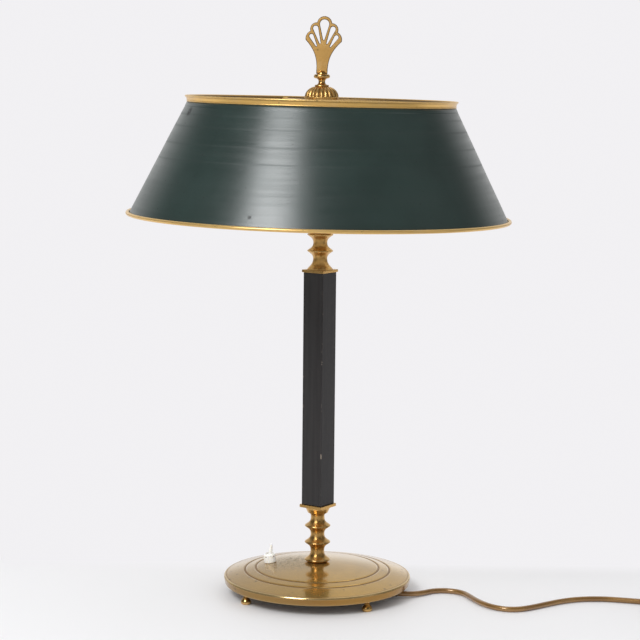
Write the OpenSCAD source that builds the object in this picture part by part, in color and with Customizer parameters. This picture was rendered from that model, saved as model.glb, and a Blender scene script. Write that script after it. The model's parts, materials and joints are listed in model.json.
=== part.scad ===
// Bouillotte table lamp with two lights under one painted metal shade.
// Millimetres, +Z up. The origin is on the lamp's axis, on the table it stands on.
// The user sits at -Y, so left is -X and right is +X.

/* [Base] */
// Diameter of the brass foot plate
base_d = 197.6; // [194:0.4:200]
// Height of the plate's upper edge above the table
rim_top = 19; // [18.5:0.5:20]
// Height of the plate's crown above its upper edge
dome_rise = 14; // [13.5:0.5:15]
// Thickness of the spun brass
base_sheet = 2; // [1.6:0.1:2.2]

/* [Feet] */
// Height of a turned foot, and so of the gap under the base
foot_h = 11; // [10.5:0.5:11.5]
// Diameter of a foot's ball
foot_ball_d = 11; // [9.5:0.5:12]
// Distance of the feet from the lamp's axis
foot_reach = 89.5; // [84:0.5:90]

/* [Stem] */
// Side of the square lacquered column
column_w = 24.6; // [22:0.2:26]
// Top of the column above the table
column_top = 341.2; // [320:0.2:344]
// Turn of the square parts about the lamp's axis
square_turn = -35; // [-45:1:45]
// Radius of the spools at their beads
bead_r = 13.6; // [12.5:0.1:14]
// Radius of the spools at their necks
neck_r = 7.2; // [6.6:0.1:8]

/* [Shade] */
// Outer radius of the painted cone at its lower edge
cone_low_r = 196; // [190:0.5:200]
// Outer radius of the painted cone at its upper edge
cone_high_r = 138; // [132:0.5:142]
// Height of the cone
cone_h = 114; // [110:1:120]
// Horizontal thickness of the cone's sheet
cone_sheet = 1.1; // [0.9:0.1:1.2]
// Diameter of the brass bead along the lower edge
bead_wire_d = 3.8; // [3.4:0.2:5]

/* [Finial] */
// Diameter of the fluted cap
cap_d = 36; // [35:0.5:38]
// Number of flutes round the cap
flutes = 22; // [16:1:26]
// Thickness of the palmette
palmette_t = 3.2; // [2.4:0.2:4]

/* [Switch] */
// Distance of the switch from the lamp's axis
switch_reach = 50.7; // [48:0.1:53]
// Bearing of the switch, counted from +X
switch_bearing = 170.4; // [166:0.2:174]
// Throw of the lever from one end to the other
switch_throw = 26; // [20:1:26]

/* [Cord] */
// Diameter of the cord
cord_d = 5.6; // [5.4:0.2:5.6]

/* [Hidden] */
$fn = 96;

// Colours
brass = [0.78, 0.58, 0.26];
aged_brass = [0.66, 0.50, 0.24];
lacquer = [0.10, 0.10, 0.11];
green = [0.09, 0.16, 0.14];
iron = [0.22, 0.22, 0.23];
steel = [0.66, 0.67, 0.69];
bakelite = [0.14, 0.08, 0.05];
porcelain = [0.92, 0.91, 0.87];
opal = [0.96, 0.95, 0.90];
copper = [0.72, 0.42, 0.25];
cord_gold = [0.50, 0.34, 0.14];

eps = 0.02;                            // overrun of a cut past the face it opens
fit = 0.05;                            // radial clearance of a turning or threaded fit
loose = 0.1;                           // radial clearance of a hole that only lets a part by

// Base
base_r = base_d / 2;
dome_top = rim_top + dome_rise;
dome_r = (base_r * base_r + dome_rise * dome_rise) / (2 * dome_rise);
dome_z = dome_top - dome_r;            // height of the dome's centre
rim_inset = 1.3;                       // the rim band leans in by this much at its foot
rim_chamfer = 0.9;
lip_w = 4;                             // width of the edge turned in under the rim
lip_h = 1.5;
ring_radii = [65, 76.4];                // the two engraved rings
groove_r = 0.8;
seat_z = dome_top - 0.2;               // small flat that the lower spool stands on
under_seat_z = seat_z - base_sheet;
shell_bore_r = 5.3;

// Tie tube and what it clamps
tube_r = 5;
tube_bore_r = 4;
tube_low = 19;
cover_t = 1.7;
cover_top = foot_h + cover_t;
lip_bore_r = base_r - rim_inset - lip_w;
cover_r = lip_bore_r - 0.2;
ballast_r = 93;
ballast_top = 18.2;
boss_r = 16;
boss_top_r = 11.5;
boss_shoulder = under_seat_z - 3;
recess_r = 11;
recess_top = 26;
washer_r = 10.6;
washer_t = 1.6;
nut_h = 4;
nut_across = 14;
slot_w = 9;
slot_top = 19.4;
switch_window_r = 13;
gland_window_r = 10;

// Feet
front_left = -145;
front_right = -55;
back_left = 125;
back_right = 35;
foot_neck_r = 2.8;
foot_flange_r = 4.8;
foot_flange_t = 1;
ball_z = 3.4;
ball_flat = 0.73;                      // height of the ball over its width
stud_r = 2;
stud_top = 17;

// Stem
lower_plate_low = 92.2;
lower_plate_t = 3.2;
lower_plate_w = 27.8;
column_low = lower_plate_low + lower_plate_t;
column_edge = 0.5;
upper_plate_t = 2.8;
upper_plate_w = 27.2;
upper_spool_low = column_top + upper_plate_t;
upper_spool_top = upper_spool_low + 40.2;
bead_spread = 3.3;                     // how far a bead spreads along the spool
foot_spread = 4.9;                     // the same for the upper spool's flared foot
// [height, spread] of each bead
lower_beads = [[35.7, bead_spread], [54.5, bead_spread], [72.1, bead_spread]];
upper_beads = [
    [upper_spool_low, foot_spread],
    [upper_spool_low + 19.5, bead_spread],
    [upper_spool_low + 36.4, bead_spread]
];
turning_step = 0.8;                    // height of one band of a turned profile
lower_neck_top = 82.2;
cove_r = 4.6;
cove_h = 3.5;

// Cluster and lampholders
cluster_low = upper_spool_top;
cluster_high = cluster_low + 20;
cluster_r = 14;
tube_high = cluster_low + 8;
chamber_r = 9.5;
chamber_low = cluster_low + 5;
chamber_high = cluster_low + 13.8;
arm_z = cluster_low + 9.3;
arm_r = 4;
arm_bore_r = 2.9;
arm_bend_r = 10;
arm_start = 10.2;
holder_x = 48;
holder_low = arm_z + arm_bend_r + 0.9;
holder_r = 13.5;
holder_h = 41.6;
holder_socket_h = 4.6;
holder_bore_r = 8.55;
holder_floor = holder_low + 9.6;
contact_r = 2.6;
contact_h = 3.4;
thread_bore_r = 7;
thread_low = holder_floor + 2;
thread_h = 25;
cap_r = 6.92;
cap_low = holder_floor + 5.5;
cap_h = 27;
cap_tip_r = 2.3;
bulb_ball_r = 22.5;
bulb_wall = 0.8;
bulb_neck_r = 6.7;
bulb_flare = 12.5;                     // the flare meets the ball this far below its centre
bulb_low = cap_low + cap_h;
bulb_z = bulb_low + 31.5;

// Shade
cone_low = 399;
cone_high = cone_low + cone_h;
bead_wire_r = bead_wire_d / 2;
bead_ring_r = cone_low_r + 1.5;
bead_ring_z = cone_low + 0.4;
band_bore_r = cone_high_r - 1.3;
rod_low = cluster_low + 14.4;
hub_low = cone_high + 1;
hub_top = hub_low + 7;
hub_flange_r = 17;
hub_flange_t = 2;
hub_boss_r = 10;
shoulder_r = 9;
shoulder_t = 4;
rod_top = hub_top - 0.6;
spider_bearings = [107, 227, 347];
spider_w = 8;
spider_t = 2;
spider_low = hub_low + 2.5;
tab_w = 9;
tab_t = 1.6;
tab_low = cone_high + 0.3;
tab_high = cone_high + 6.4;
rivet_z = (tab_low + spider_low) / 2;
rivet_r = 1;
rivet_head_r = 1.4;
rivet_head_t = 0.8;

// Finial
bolt_r = 3;
bolt_low = hub_low - 9;
bolt_bore_low = bolt_low - 1;
brim_t = 1;
brim_top = hub_top + brim_t;
flute_base_r = cap_d / 2 - 0.4;
cap_crown_r = 7.3;
cap_crown = brim_top + 10.6;
flute_depth = 1.1;
flute_bands = 8;
flute_steps = 4;
knuckle_r = 4.8;                       // ball that the palmette is let into
knuckle_z = cap_crown + 12;
palmette_root = 3.5;                   // depth of the palmette's root in the knuckle
palmette_root_w = 5.75;                // half width of the root
palmette_low = cap_crown + 16.4;
palmette_tips = 30.1;                  // height of the lowest leaf tips above its foot

// Switch, in a frame that stands on the dome with its +X leaning outwards
pivot_z = 3;
switch_body_r = 8.7;
switch_body_top = -2.2;
switch_body_low = -14;
terminal_y = 3.5;
terminal_z = -8;
bushing_r = 4.8;
bushing_bore_r = 3.3;
bushing_top = 7.4;
collar_r = 6.4;
collar_h = 8.8;
nose_r = 4.2;
nose_top = 10.2;
mouth_r = 3.65;
pin_axis_r = 0.8;
lever_ball_r = 2.4;
lever_root_r = 1.5;
lever_tip_r = 1.75;
lever_h = 17;
lever_tail = 5;

// Cord gland under the base
cord_r = cord_d / 2;
gland_x = 50;
gland_y = -24;
gland_z = 5.3;
gland_face = 60;
gland_r = 5;
gland_spigot_r = 4.6;
gland_spigot_top = 16;
gland_nut_top = 15.6;
cord_end_top = 16.6;
relief_end = 84;
relief_root_r = 4.6;
relief_tip_r = 3.3;

// Points of the cord from the strain relief to its coil
cord_sides = 10;
lead_route = [
    [84, -24, 5.3], [92, -23.8, 4.9], [102, -20.5, 4.1], [112, -13, 3.3], [121.5, -5, 2.8],
    [133, -2, 2.8], [145, -4.5, 2.8], [154.5, -12, 2.8], [160.5, -24.5, 2.8], [165.5, -38, 2.8],
    [172.5, -52, 2.8], [182, -64, 2.8], [195, -71.5, 2.8], [209, -70.5, 2.8],
    [223, -62.5, 2.8], [237, -52, 2.8], [252, -41.5, 2.8], [268, -33.5, 2.8], [285, -29.5, 2.8],
    [303, -29.5, 2.8], [320, -33, 2.8], [337, -37.5, 2.8], [354, -41.5, 2.8],
    [372, -43.5, 2.8], [388, -44, 2.8]
];
coil_at = [390, -87];
coil_turn_r = 43;                      // radius of the outermost turn
coil_layer_turns = 3.125;              // turns in each of the coil's two layers
coil_in_r = coil_turn_r - cord_d * coil_layer_turns - cord_r;
coil_out_r = coil_turn_r + cord_r;
// Points of the cord from its coil to the plug
tail_route = [
    [433, -91, 8.2], [432.2, -102, 7.1], [429.6, -113, 5.4], [424.6, -123.5, 4.3],
    [421.3, -128.4, 4.2], [417.6, -133, 4.9], [413.8, -137.3, 6.3], [410, -141.6, 6.9]
];
plug_at = [410, -141.6, 6.9];
plug_bearing = 228.5;
plug_relief_l = 16;
plug_l = 37;
plug_w = 35.3;
plug_t = 13.7;
pin_l = 19;
pin_r = 2;
pin_gap = 19;

// Routes of the wires inside the lamp
wire_r = 1;
wire_sides = 8;
wire_high = arm_z + 2;
neutral_route = [
    [50.4, -22.6, 16.6], [50.1, -22.4, 18.6], [48, -21.3, 20], [44.5, -19.4, 19.6],
    [39, -16.6, 17.2], [32, -13.2, 15.6], [22, -8.6, 15.4], [13, -4.6, 15.6], [6, -2.4, 16.4],
    [1.8, -1.7, 18], [0.2, -1.6, 21], [0, -1.6, 30], [0, -1.6, 210], [0, -1.6, wire_high]
];
live_in_route = [
    [49.6, -25.4, 16.6], [49.3, -25.2, 18.6], [47, -24.4, 20], [43.5, -22.8, 19.4],
    [38, -20.4, 17], [31, -17.4, 15.2], [22, -13.2, 14.6], [13, -8.6, 14.4], [5, -5.2, 14.2],
    [-4, -2.6, 14.2], [-12, -0.2, 14.4], [-22, 1.8, 15], [-30, 3.2, 17], [-35, 3.2, 20.4],
    [-39.3, 3.1, 22.9]
];
live_out_route = [
    [-38.1, 10, 22.9], [-34.5, 9.2, 20.4], [-30, 7.6, 17], [-22, 5.8, 15.4], [-12, 4, 15.4],
    [-5.5, 2.5, 16.2], [-1.8, 1.7, 18], [-0.2, 1.6, 21], [0, 1.6, 30], [0, 1.6, 210],
    [0, 1.6, wire_high]
];
holder_wire_y = 1.6;
holder_wire_start = 1.05;

// --- curves ---

// Height of the dome's outer face at radius r
function dome_at(r) = dome_z + sqrt(dome_r * dome_r - r * r);

// Points of an arc about [x, z] from angle a to angle b
function arc(x, z, r, a, b, steps) =
    [for (i = [0:steps]) let (t = a + (b - a) * i / steps) [x + r * cos(t), z + r * sin(t)]];

// 1 at a bead's ridge, falling to 0 along the neck
function bell(dz, spread) = exp(-pow(abs(dz) / spread, 1.6));

// Radius of a spool at height z
function spool_r(z, beads) =
    neck_r + (bead_r - neck_r) * max([for (b = beads) bell(z - b[0], b[1])]);

// Turned outline of a spool between two heights
function spool_outline(low, high, beads) =
    let (count = ceil((high - low) / turning_step))
    [for (i = [0:count]) let (z = low + (high - low) * i / count) [spool_r(z, beads), z]];

function unit(v) = v / norm(v);

// Direction of a route at its point i
function heading(route, i) =
    unit(route[min(i + 1, len(route) - 1)] - route[max(i - 1, 0)]);

// --- shared shapes ---

module disc(r, low, high) {
    translate([0, 0, low]) cylinder(r = r, h = high - low);
}

module ring(outer, inner, low, high) {
    difference() {
        disc(outer, low, high);
        disc(inner, low - eps, high + eps);
    }
}

module turned(outline) {
    rotate_extrude() polygon(outline);
}

module at_bearing(bearing, reach) {
    rotate([0, 0, bearing]) translate([reach, 0, 0]) children();
}

// Square bar with eased edges and a round bore, turned with the column
module square_bar(side, edge, bore, low, high) {
    s = side / 2;
    e = s - edge;
    rotate([0, 0, square_turn])
        difference() {
            translate([0, 0, low])
                linear_extrude(high - low)
                polygon([[s, -e], [s, e], [e, s], [-e, s], [-s, e], [-s, -e], [-e, -s], [e, -s]]);
            disc(bore, low - eps, high + eps);
        }
}

// Round tube swept along a route, closed by a flat face at each end.
// across is a direction that the route never follows.
module sweep(route, r, sides, across) {
    count = len(route);
    points = [
        for (i = [0:count - 1])
            let (
                ahead = heading(route, i),
                side = unit(cross(ahead, across)),
                up = cross(side, ahead)
            )
            for (j = [0:sides - 1])
                let (a = 360 * j / sides)
                route[i] + r * (cos(a) * side + sin(a) * up)
    ];
    faces = concat(
        [[for (j = [0:sides - 1]) j]],
        [for (i = [0:count - 2]) for (j = [0:sides - 1])
            let (k = (j + 1) % sides)
            [i * sides + j, (i + 1) * sides + j, (i + 1) * sides + k, i * sides + k]],
        [[for (j = [sides - 1:-1:0]) (count - 1) * sides + j]]
    );
    polyhedron(points, faces, convexity = 6);
}

// --- base ---

module foot(bearing) {
    color(brass)
        at_bearing(bearing, foot_reach)
        rotate_extrude()
        intersection() {
            union() {
                translate([0, ball_z]) scale([1, ball_flat]) circle(d = foot_ball_d);
                square([foot_neck_r, foot_h]);
                polygon([
                    [0, 8], [foot_neck_r, 8.2], [foot_flange_r, foot_h - foot_flange_t],
                    [foot_flange_r, foot_h], [0, foot_h]
                ]);
                square([stud_r, stud_top]);
            }
            square([foot_ball_d, stud_top]);
        }
}

module base_shell() {
    wall_r = base_r - base_sheet;
    color(aged_brass)
        difference() {
            rotate_extrude()
                difference() {
                    intersection() {
                        translate([0, dome_z]) circle(r = dome_r, $fn = 720);
                        polygon([
                            [shell_bore_r, foot_h], [base_r - rim_inset, foot_h],
                            [base_r, rim_top - 2 * rim_chamfer],
                            [base_r, rim_top - rim_chamfer],
                            [base_r - rim_chamfer, rim_top + rim_chamfer],
                            [base_r - rim_chamfer, seat_z], [shell_bore_r, seat_z]
                        ]);
                    }
                    intersection() {
                        translate([0, dome_z]) circle(r = dome_r - base_sheet, $fn = 720);
                        polygon([
                            [0, foot_h - 1], [lip_bore_r, foot_h - 1],
                            [lip_bore_r, foot_h + lip_h], [wall_r - rim_inset, foot_h + lip_h],
                            [wall_r, rim_top - base_sheet], [wall_r, under_seat_z],
                            [0, under_seat_z]
                        ]);
                    }
                    for (r = ring_radii)
                        translate([r, dome_at(r) + 0.2]) circle(r = groove_r, $fn = 24);
                }
            at_switch() disc(bushing_r + loose, -4, 2);
        }
}

// Wire channel in the ballast from its centre towards a bearing
module wire_slot(bearing, reach) {
    rotate([0, 0, bearing])
        translate([0, -slot_w / 2, cover_top - eps])
        cube([reach, slot_w, slot_top - cover_top]);
}

module ballast_disc() {
    color(iron)
        difference() {
            union() {
                disc(ballast_r, cover_top, ballast_top);
                disc(boss_r, cover_top, boss_shoulder);
                translate([0, 0, boss_shoulder])
                    cylinder(r1 = boss_r, r2 = boss_top_r, h = under_seat_z - boss_shoulder);
            }
            disc(tube_r + loose, recess_top - eps, under_seat_z + eps);
            disc(recess_r, cover_top - eps, recess_top);
            at_bearing(switch_bearing, switch_reach)
                disc(switch_window_r, cover_top - eps, ballast_top + eps);
            translate([gland_x, gland_y, 0])
                disc(gland_window_r, cover_top - eps, ballast_top + eps);
            wire_slot(switch_bearing, switch_reach);
            wire_slot(atan2(gland_y, gland_x), norm([gland_x, gland_y]));
            for (bearing = [front_left, front_right, back_left, back_right])
                at_bearing(bearing, foot_reach)
                    disc(stud_r + fit, cover_top - eps, ballast_top + eps);
        }
}

module bottom_cover() {
    color(bakelite)
        difference() {
            disc(cover_r, foot_h, cover_top);
            translate([gland_x, gland_y, 0])
                disc(gland_spigot_r + loose, foot_h - eps, cover_top + eps);
            for (bearing = [front_left, front_right, back_left, back_right])
                at_bearing(bearing, foot_reach)
                    disc(stud_r + loose, foot_h - eps, cover_top + eps);
        }
}

// --- stem ---

module tie_tube() {
    color(steel) ring(tube_r, tube_bore_r, tube_low, tube_high);
}

module tie_washer() {
    color(steel) ring(washer_r, tube_r + loose, recess_top - washer_t, recess_top);
}

module tie_nut() {
    top = recess_top - washer_t;
    color(brass)
        difference() {
            translate([0, 0, top - nut_h]) cylinder(d = nut_across / cos(30), h = nut_h, $fn = 6);
            disc(tube_r + fit, top - nut_h - eps, top + eps);
        }
}

module lower_spool() {
    cove_top = lower_neck_top + cove_h;
    bore = tube_r + loose;
    color(brass)
        turned(concat(
            [[bore, seat_z]],
            spool_outline(seat_z, lower_neck_top, lower_beads),
            arc(neck_r + cove_r, lower_neck_top, cove_r, 180, 130, 6),
            [
                [bead_r - 3, cove_top + 0.5], [bead_r - 2.7, cove_top + 1.1],
                [bead_r - 1.9, cove_top + 2.9], [bead_r - 1.1, cove_top + 4.7],
                [bead_r - 0.9, lower_plate_low], [bore, lower_plate_low]
            ]
        ));
}

module lower_plate() {
    color(brass)
        square_bar(lower_plate_w, 0.3, tube_r + loose, lower_plate_low, column_low);
}

module column() {
    color(lacquer) square_bar(column_w, column_edge, tube_r + 2 * loose, column_low, column_top);
}

module upper_plate() {
    color(brass)
        square_bar(upper_plate_w, 0.3, tube_r + loose, column_top, upper_spool_low);
}

module upper_spool() {
    bore = tube_r + loose;
    color(brass)
        turned(concat(
            [[bore, upper_spool_low]],
            spool_outline(upper_spool_low, upper_spool_top, upper_beads),
            [[bore, upper_spool_top]]
        ));
}

// --- lights ---

module cluster_body() {
    color(brass)
        difference() {
            turned([
                [0, cluster_low], [cluster_r - 3, cluster_low], [cluster_r, cluster_low + 2],
                [cluster_r, cluster_high - 3], [cluster_r - 3, cluster_high], [0, cluster_high]
            ]);
            disc(tube_r + fit, cluster_low - eps, chamber_low + eps);
            disc(chamber_r, chamber_low, chamber_high);
            disc(tube_r + fit, chamber_high - eps, cluster_high + eps);
            translate([-cluster_r - 1, 0, arm_z])
                rotate([0, 90, 0])
                cylinder(r = arm_r + fit, h = 2 * cluster_r + 2);
        }
}

module holder_arm(side) {
    bend_x = holder_x - arm_bend_r;
    mirror([side < 0 ? 1 : 0, 0, 0])
        color(brass)
        difference() {
            arm_solid(arm_r, bend_x, 0);
            arm_solid(arm_bore_r, bend_x, eps);
        }
}

// Horizontal run, quarter bend and upright of an arm, over its ends by over
module arm_solid(r, bend_x, over) {
    translate([arm_start - over, 0, arm_z])
        rotate([0, 90, 0])
        cylinder(r = r, h = bend_x - arm_start + over);
    translate([bend_x, 0, arm_z + arm_bend_r])
        rotate([90, 0, 0])
        rotate([0, 0, -90])
        rotate_extrude(angle = 90)
        translate([arm_bend_r, 0])
        circle(r = r);
    translate([holder_x, 0, arm_z + arm_bend_r])
        cylinder(r = r, h = holder_low + holder_socket_h - 0.2 - arm_z - arm_bend_r + over);
}

module lampholder(side) {
    top = holder_low + holder_h;
    color(bakelite)
        translate([side * holder_x, 0, 0])
        difference() {
            turned([
                [0, holder_low], [8, holder_low], [holder_r, holder_low + 6],
                [holder_r, top - 9], [holder_r + 1.2, top - 8], [holder_r + 1.2, top - 5.5],
                [holder_r, top - 4.5], [holder_r, top - 0.8], [holder_r - 0.8, top], [0, top]
            ]);
            disc(arm_r + fit, holder_low - eps, holder_low + holder_socket_h);
            disc(holder_bore_r, holder_floor, top + eps);
        }
}

module screw_shell(side) {
    color(brass)
        translate([side * holder_x, 0, 0])
        ring(holder_bore_r - 0.02, thread_bore_r, thread_low, thread_low + thread_h);
}

module centre_contact(side) {
    color(brass)
        translate([side * holder_x, 0, 0])
        disc(contact_r, holder_floor, holder_floor + contact_h);
}

module bulb_cap(side) {
    tip_h = cap_low - holder_floor - contact_h - 0.3;
    color(steel)
        translate([side * holder_x, 0, 0])
        union() {
            disc(cap_r, cap_low, bulb_low);
            disc(cap_tip_r, cap_low - tip_h, cap_low + 1);
        }
}

// Flared neck and ball of the bulb's glass, thinned by inset
module bulb_section(inset) {
    ball = bulb_ball_r - inset;
    meet_z = bulb_z - bulb_flare;
    intersection() {
        union() {
            translate([0, bulb_z]) circle(r = ball);
            polygon([
                [0, bulb_low], [bulb_neck_r - inset, bulb_low],
                [sqrt(ball * ball - bulb_flare * bulb_flare), meet_z], [0, meet_z]
            ]);
        }
        translate([0, bulb_low - inset]) square([bulb_ball_r, 2 * bulb_ball_r + bulb_flare]);
    }
}

module bulb_glass(side) {
    color(opal)
        translate([side * holder_x, 0, 0])
        rotate_extrude()
        difference() {
            bulb_section(0);
            bulb_section(bulb_wall);
            translate([0, bulb_low - 1]) square([bulb_neck_r - bulb_wall, 2]);
        }
}

// --- shade ---

module shade_rod() {
    color(brass)
        difference() {
            union() {
                disc(tube_r, rod_low, rod_top);
                translate([0, 0, hub_low - shoulder_t])
                    cylinder(r1 = shoulder_r - 2.5, r2 = shoulder_r, h = shoulder_t / 2);
                disc(shoulder_r, hub_low - shoulder_t / 2, hub_low);
            }
            disc(bolt_r + fit, bolt_bore_low, rod_top + eps);
        }
}

// Ends of the spider's arms, bent to follow the inside of the top band
module spider_tab() {
    intersection() {
        ring(band_bore_r, band_bore_r - tab_t, tab_low, tab_high);
        translate([band_bore_r - 10, -tab_w / 2, tab_low])
            cube([12, tab_w, tab_high - tab_low]);
    }
}

module shade_spider() {
    color(aged_brass)
        difference() {
            union() {
                disc(hub_boss_r, hub_low, hub_top - hub_flange_t + eps);
                disc(hub_flange_r, hub_top - hub_flange_t, hub_top);
                for (bearing = spider_bearings)
                    rotate([0, 0, bearing]) {
                        translate([hub_boss_r - 2, -spider_w / 2, spider_low])
                            cube([band_bore_r - hub_boss_r + 1, spider_w, spider_t]);
                        spider_tab();
                    }
            }
            disc(tube_r + fit, hub_low - eps, hub_top + eps);
            for (bearing = spider_bearings)
                rotate([0, 0, bearing])
                    translate([band_bore_r - 6, 0, rivet_z])
                    rotate([0, 90, 0])
                    cylinder(r = rivet_r + fit, h = 8);
        }
}

module spider_rivets() {
    color(brass)
        for (bearing = spider_bearings)
            rotate([0, 0, bearing])
            translate([band_bore_r - tab_t, 0, rivet_z])
            rotate([0, 90, 0]) {
                translate([0, 0, -rivet_head_t - 0.1]) cylinder(r = rivet_head_r, h = rivet_head_t);
                translate([0, 0, -rivet_head_t]) cylinder(r = rivet_r, h = tab_t);
            }
}

module shade_skin() {
    color(green)
        turned([
            [cone_low_r - cone_sheet, cone_low], [cone_low_r, cone_low],
            [cone_high_r, cone_high], [cone_high_r - cone_sheet, cone_high]
        ]);
}

module shade_top_band() {
    b = band_bore_r;
    z = cone_high;
    color(brass)
        turned([
            [b, z], [b + 1.9, z], [b + 2, z + 1.6], [b + 2.2, z + 3.6], [b + 2.8, z + 5.4],
            [b + 3.6, z + 6.6], [b + 3.9, z + 7.2], [b + 3.7, z + 7.7], [b + 3.2, z + 7.9],
            [b + 2.6, z + 7.7], [b + 1.5, z + 6.9], [b + 0.5, z + 6.5], [b, z + 6.5]
        ]);
}

module shade_bottom_bead() {
    slope = (cone_low_r - cone_high_r) / cone_h;
    over = 3;
    color(brass)
        rotate_extrude()
        difference() {
            translate([bead_ring_r, bead_ring_z]) circle(r = bead_wire_r);
            polygon([
                [bead_ring_r - bead_wire_d, cone_low], [cone_low_r, cone_low],
                [cone_low_r - slope * over, cone_low + over],
                [bead_ring_r - bead_wire_d, cone_low + over]
            ]);
        }
}

// --- finial ---

// One ring of the cap's points, cut by depth at the valleys between its flutes
function fluted_ring(r, z, depth) = [
    for (j = [0:flutes * flute_steps - 1])
        let (
            a = 360 * j / (flutes * flute_steps),
            cut = depth * (1 - abs(sin(flutes * a / 2)))
        )
        [(r - cut) * cos(a), (r - cut) * sin(a), z]
];

// Hollow cap in one piece. Its rings run up the fluted outside, then down the bore
// and the hollow, back to the brim.
module dome_cap() {
    bore = bolt_r + 3 * loose;
    rings = concat(
        [fluted_ring(cap_d / 2, hub_top, 0), fluted_ring(cap_d / 2, brim_top, 0)],
        [for (i = [0:flute_bands])
            let (t = 90 * i / flute_bands)
            fluted_ring(
                cap_crown_r + (flute_base_r - cap_crown_r) * cos(t),
                brim_top + (cap_crown - brim_top) * sin(t),
                flute_depth * (0.3 + 0.7 * cos(t))
            )],
        [for (q = [[bore, cap_crown], [bore, cap_crown - 3], [9, cap_crown - 3.4],
                   [13, cap_crown - 6.6], [14.8, hub_top]])
            fluted_ring(q[0], q[1], 0)]
    );
    n = len(rings);
    around = len(rings[0]);
    color(brass)
        polyhedron(
            [for (one = rings) each one],
            [for (i = [0:n - 1]) for (j = [0:around - 1])
                let (k = (j + 1) % around, low = i * around, high = ((i + 1) % n) * around)
                each [[low + j, high + j, high + k], [low + j, high + k, low + k]]],
            convexity = 4
        );
}

// Bolt, ring, neck, disc and knuckle turned in one, with a slot for the palmette
module finial_stem() {
    z = cap_crown;
    slot_z = palmette_low - palmette_root;
    color(brass)
        difference() {
            turned(concat(
                [[0, bolt_low], [bolt_r - 0.4, bolt_low], [bolt_r, bolt_low + 0.8]],
                [[bolt_r, z], [cap_crown_r - 0.2, z]],
                arc(cap_crown_r - 0.9, z + 1, 1, -70, 80, 6),
                arc(7, z + 5.2, 3.6, 255, 115, 12),
                arc(6.3, z + 10.6, 2.1, -78, 78, 12),
                arc(0, knuckle_z, knuckle_r, 8, 90, 10)
            ));
            translate([-2 * knuckle_r, -palmette_t / 2, slot_z])
                cube([4 * knuckle_r, palmette_t, 2 * knuckle_r]);
        }
}

// Half width of the palmette at height v, from its foot up to the lowest tips
function flank_w(v) = palmette_root_w + 12.6 * pow(v / palmette_tips, 2.45);

// Opening that tapers from a round end of radius ra at a to one of radius rb at b
module taper_slot(a, ra, b, rb) {
    d = b - a;
    along = atan2(d[1], d[0]);
    spread = acos((ra - rb) / norm(d));
    polygon(concat(
        arc(a[0], a[1], ra, along + spread, along + 360 - spread, 16),
        arc(b[0], b[1], rb, along - spread, along + spread, 5)
    ));
}

// Leaf tip of the palmette, cut off level with the top of the root
module leaf_tip(x, v, r) {
    intersection() {
        polygon(arc(x, v, r, 0, 355, 71));
        translate([-cap_d / 2, palmette_tips - eps]) square([cap_d, cap_d]);
    }
}

module palmette_outline() {
    steps = 14;
    heights = [for (i = [0:steps]) palmette_tips * i / steps];
    polygon(concat(
        [for (v = heights) [flank_w(v), v]],
        [for (i = [steps:-1:0]) [-flank_w(heights[i]), heights[i]]],
        [[-palmette_root_w, -palmette_root], [palmette_root_w, -palmette_root]]
    ));
    leaf_tip(0, 47.6, 7.7);
    leaf_tip(0, 38, 8);                    // heart of the fan, between the leaves
    for (side = [-1, 1]) {
        leaf_tip(side * 7.6, 41.8, 6.85);
        leaf_tip(side * 10.3, 32.1, 8.4);
    }
}

module finial_palmette() {
    color(brass)
        translate([0, palmette_t / 2, palmette_low])
        rotate([90, 0, 0])
        linear_extrude(palmette_t)
        difference() {
            palmette_outline();
            taper_slot([0, 47.3], 4.7, [0, 31.8], 0.7);
            for (side = [-1, 1]) {
                taper_slot([side * 8.9, 42.6], 2.6, [side * 3.6, 27.9], 0.6);
                taper_slot([side * 12.8, 34.5], 2.1, [side * 7.2, 24.8], 0.5);
            }
        }
}

// --- switch ---

module at_switch() {
    at_bearing(switch_bearing, switch_reach)
        translate([0, 0, dome_at(switch_reach)])
        rotate([0, asin(switch_reach / dome_r), 0])
        children();
}

module switch_body() {
    color(bakelite)
        at_switch()
        difference() {
            disc(switch_body_r, switch_body_low, switch_body_top);
            disc(bushing_bore_r, switch_body_top - 3, switch_body_top + eps);
        }
}

module switch_terminals() {
    color(brass)
        at_switch()
        for (y = [-terminal_y, terminal_y])
            translate([-switch_body_r - 1.6, y, terminal_z])
            rotate([0, 90, 0])
            difference() {
                cylinder(r = 1.8, h = 2.6);
                translate([0, 0, 1.6]) rotate([0, 90, 0]) cylinder(r = 0.5, h = 1, center = true);
            }
}

module switch_bushing() {
    color(brass)
        at_switch()
        difference() {
            ring(bushing_r, bushing_bore_r, switch_body_top, bushing_top);
            translate([0, 0, pivot_z])
                rotate([90, 0, 0])
                cylinder(r = pin_axis_r + 0.02, h = 3 * bushing_r, center = true);
        }
}

module switch_collar() {
    color(porcelain)
        at_switch()
        difference() {
            turned([
                [0, 0], [collar_r - 0.4, 0], [collar_r, 0.5], [collar_r, collar_h - 1.2],
                [collar_r - 0.5, collar_h - 0.4], [collar_r - 1.4, collar_h],
                [nose_r + 0.2, collar_h + 0.1], [nose_r, nose_top - 0.3],
                [nose_r - 0.2, nose_top], [0, nose_top]
            ]);
            disc(bushing_r + fit, -eps, bushing_top + 0.1);
            disc(mouth_r, bushing_top, nose_top + eps);
        }
}

module switch_pivot_pin() {
    color(steel)
        at_switch()
        translate([0, 0, pivot_z])
        rotate([90, 0, 0])
        cylinder(r = pin_axis_r, h = 2 * bushing_r - 0.6, center = true);
}

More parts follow.
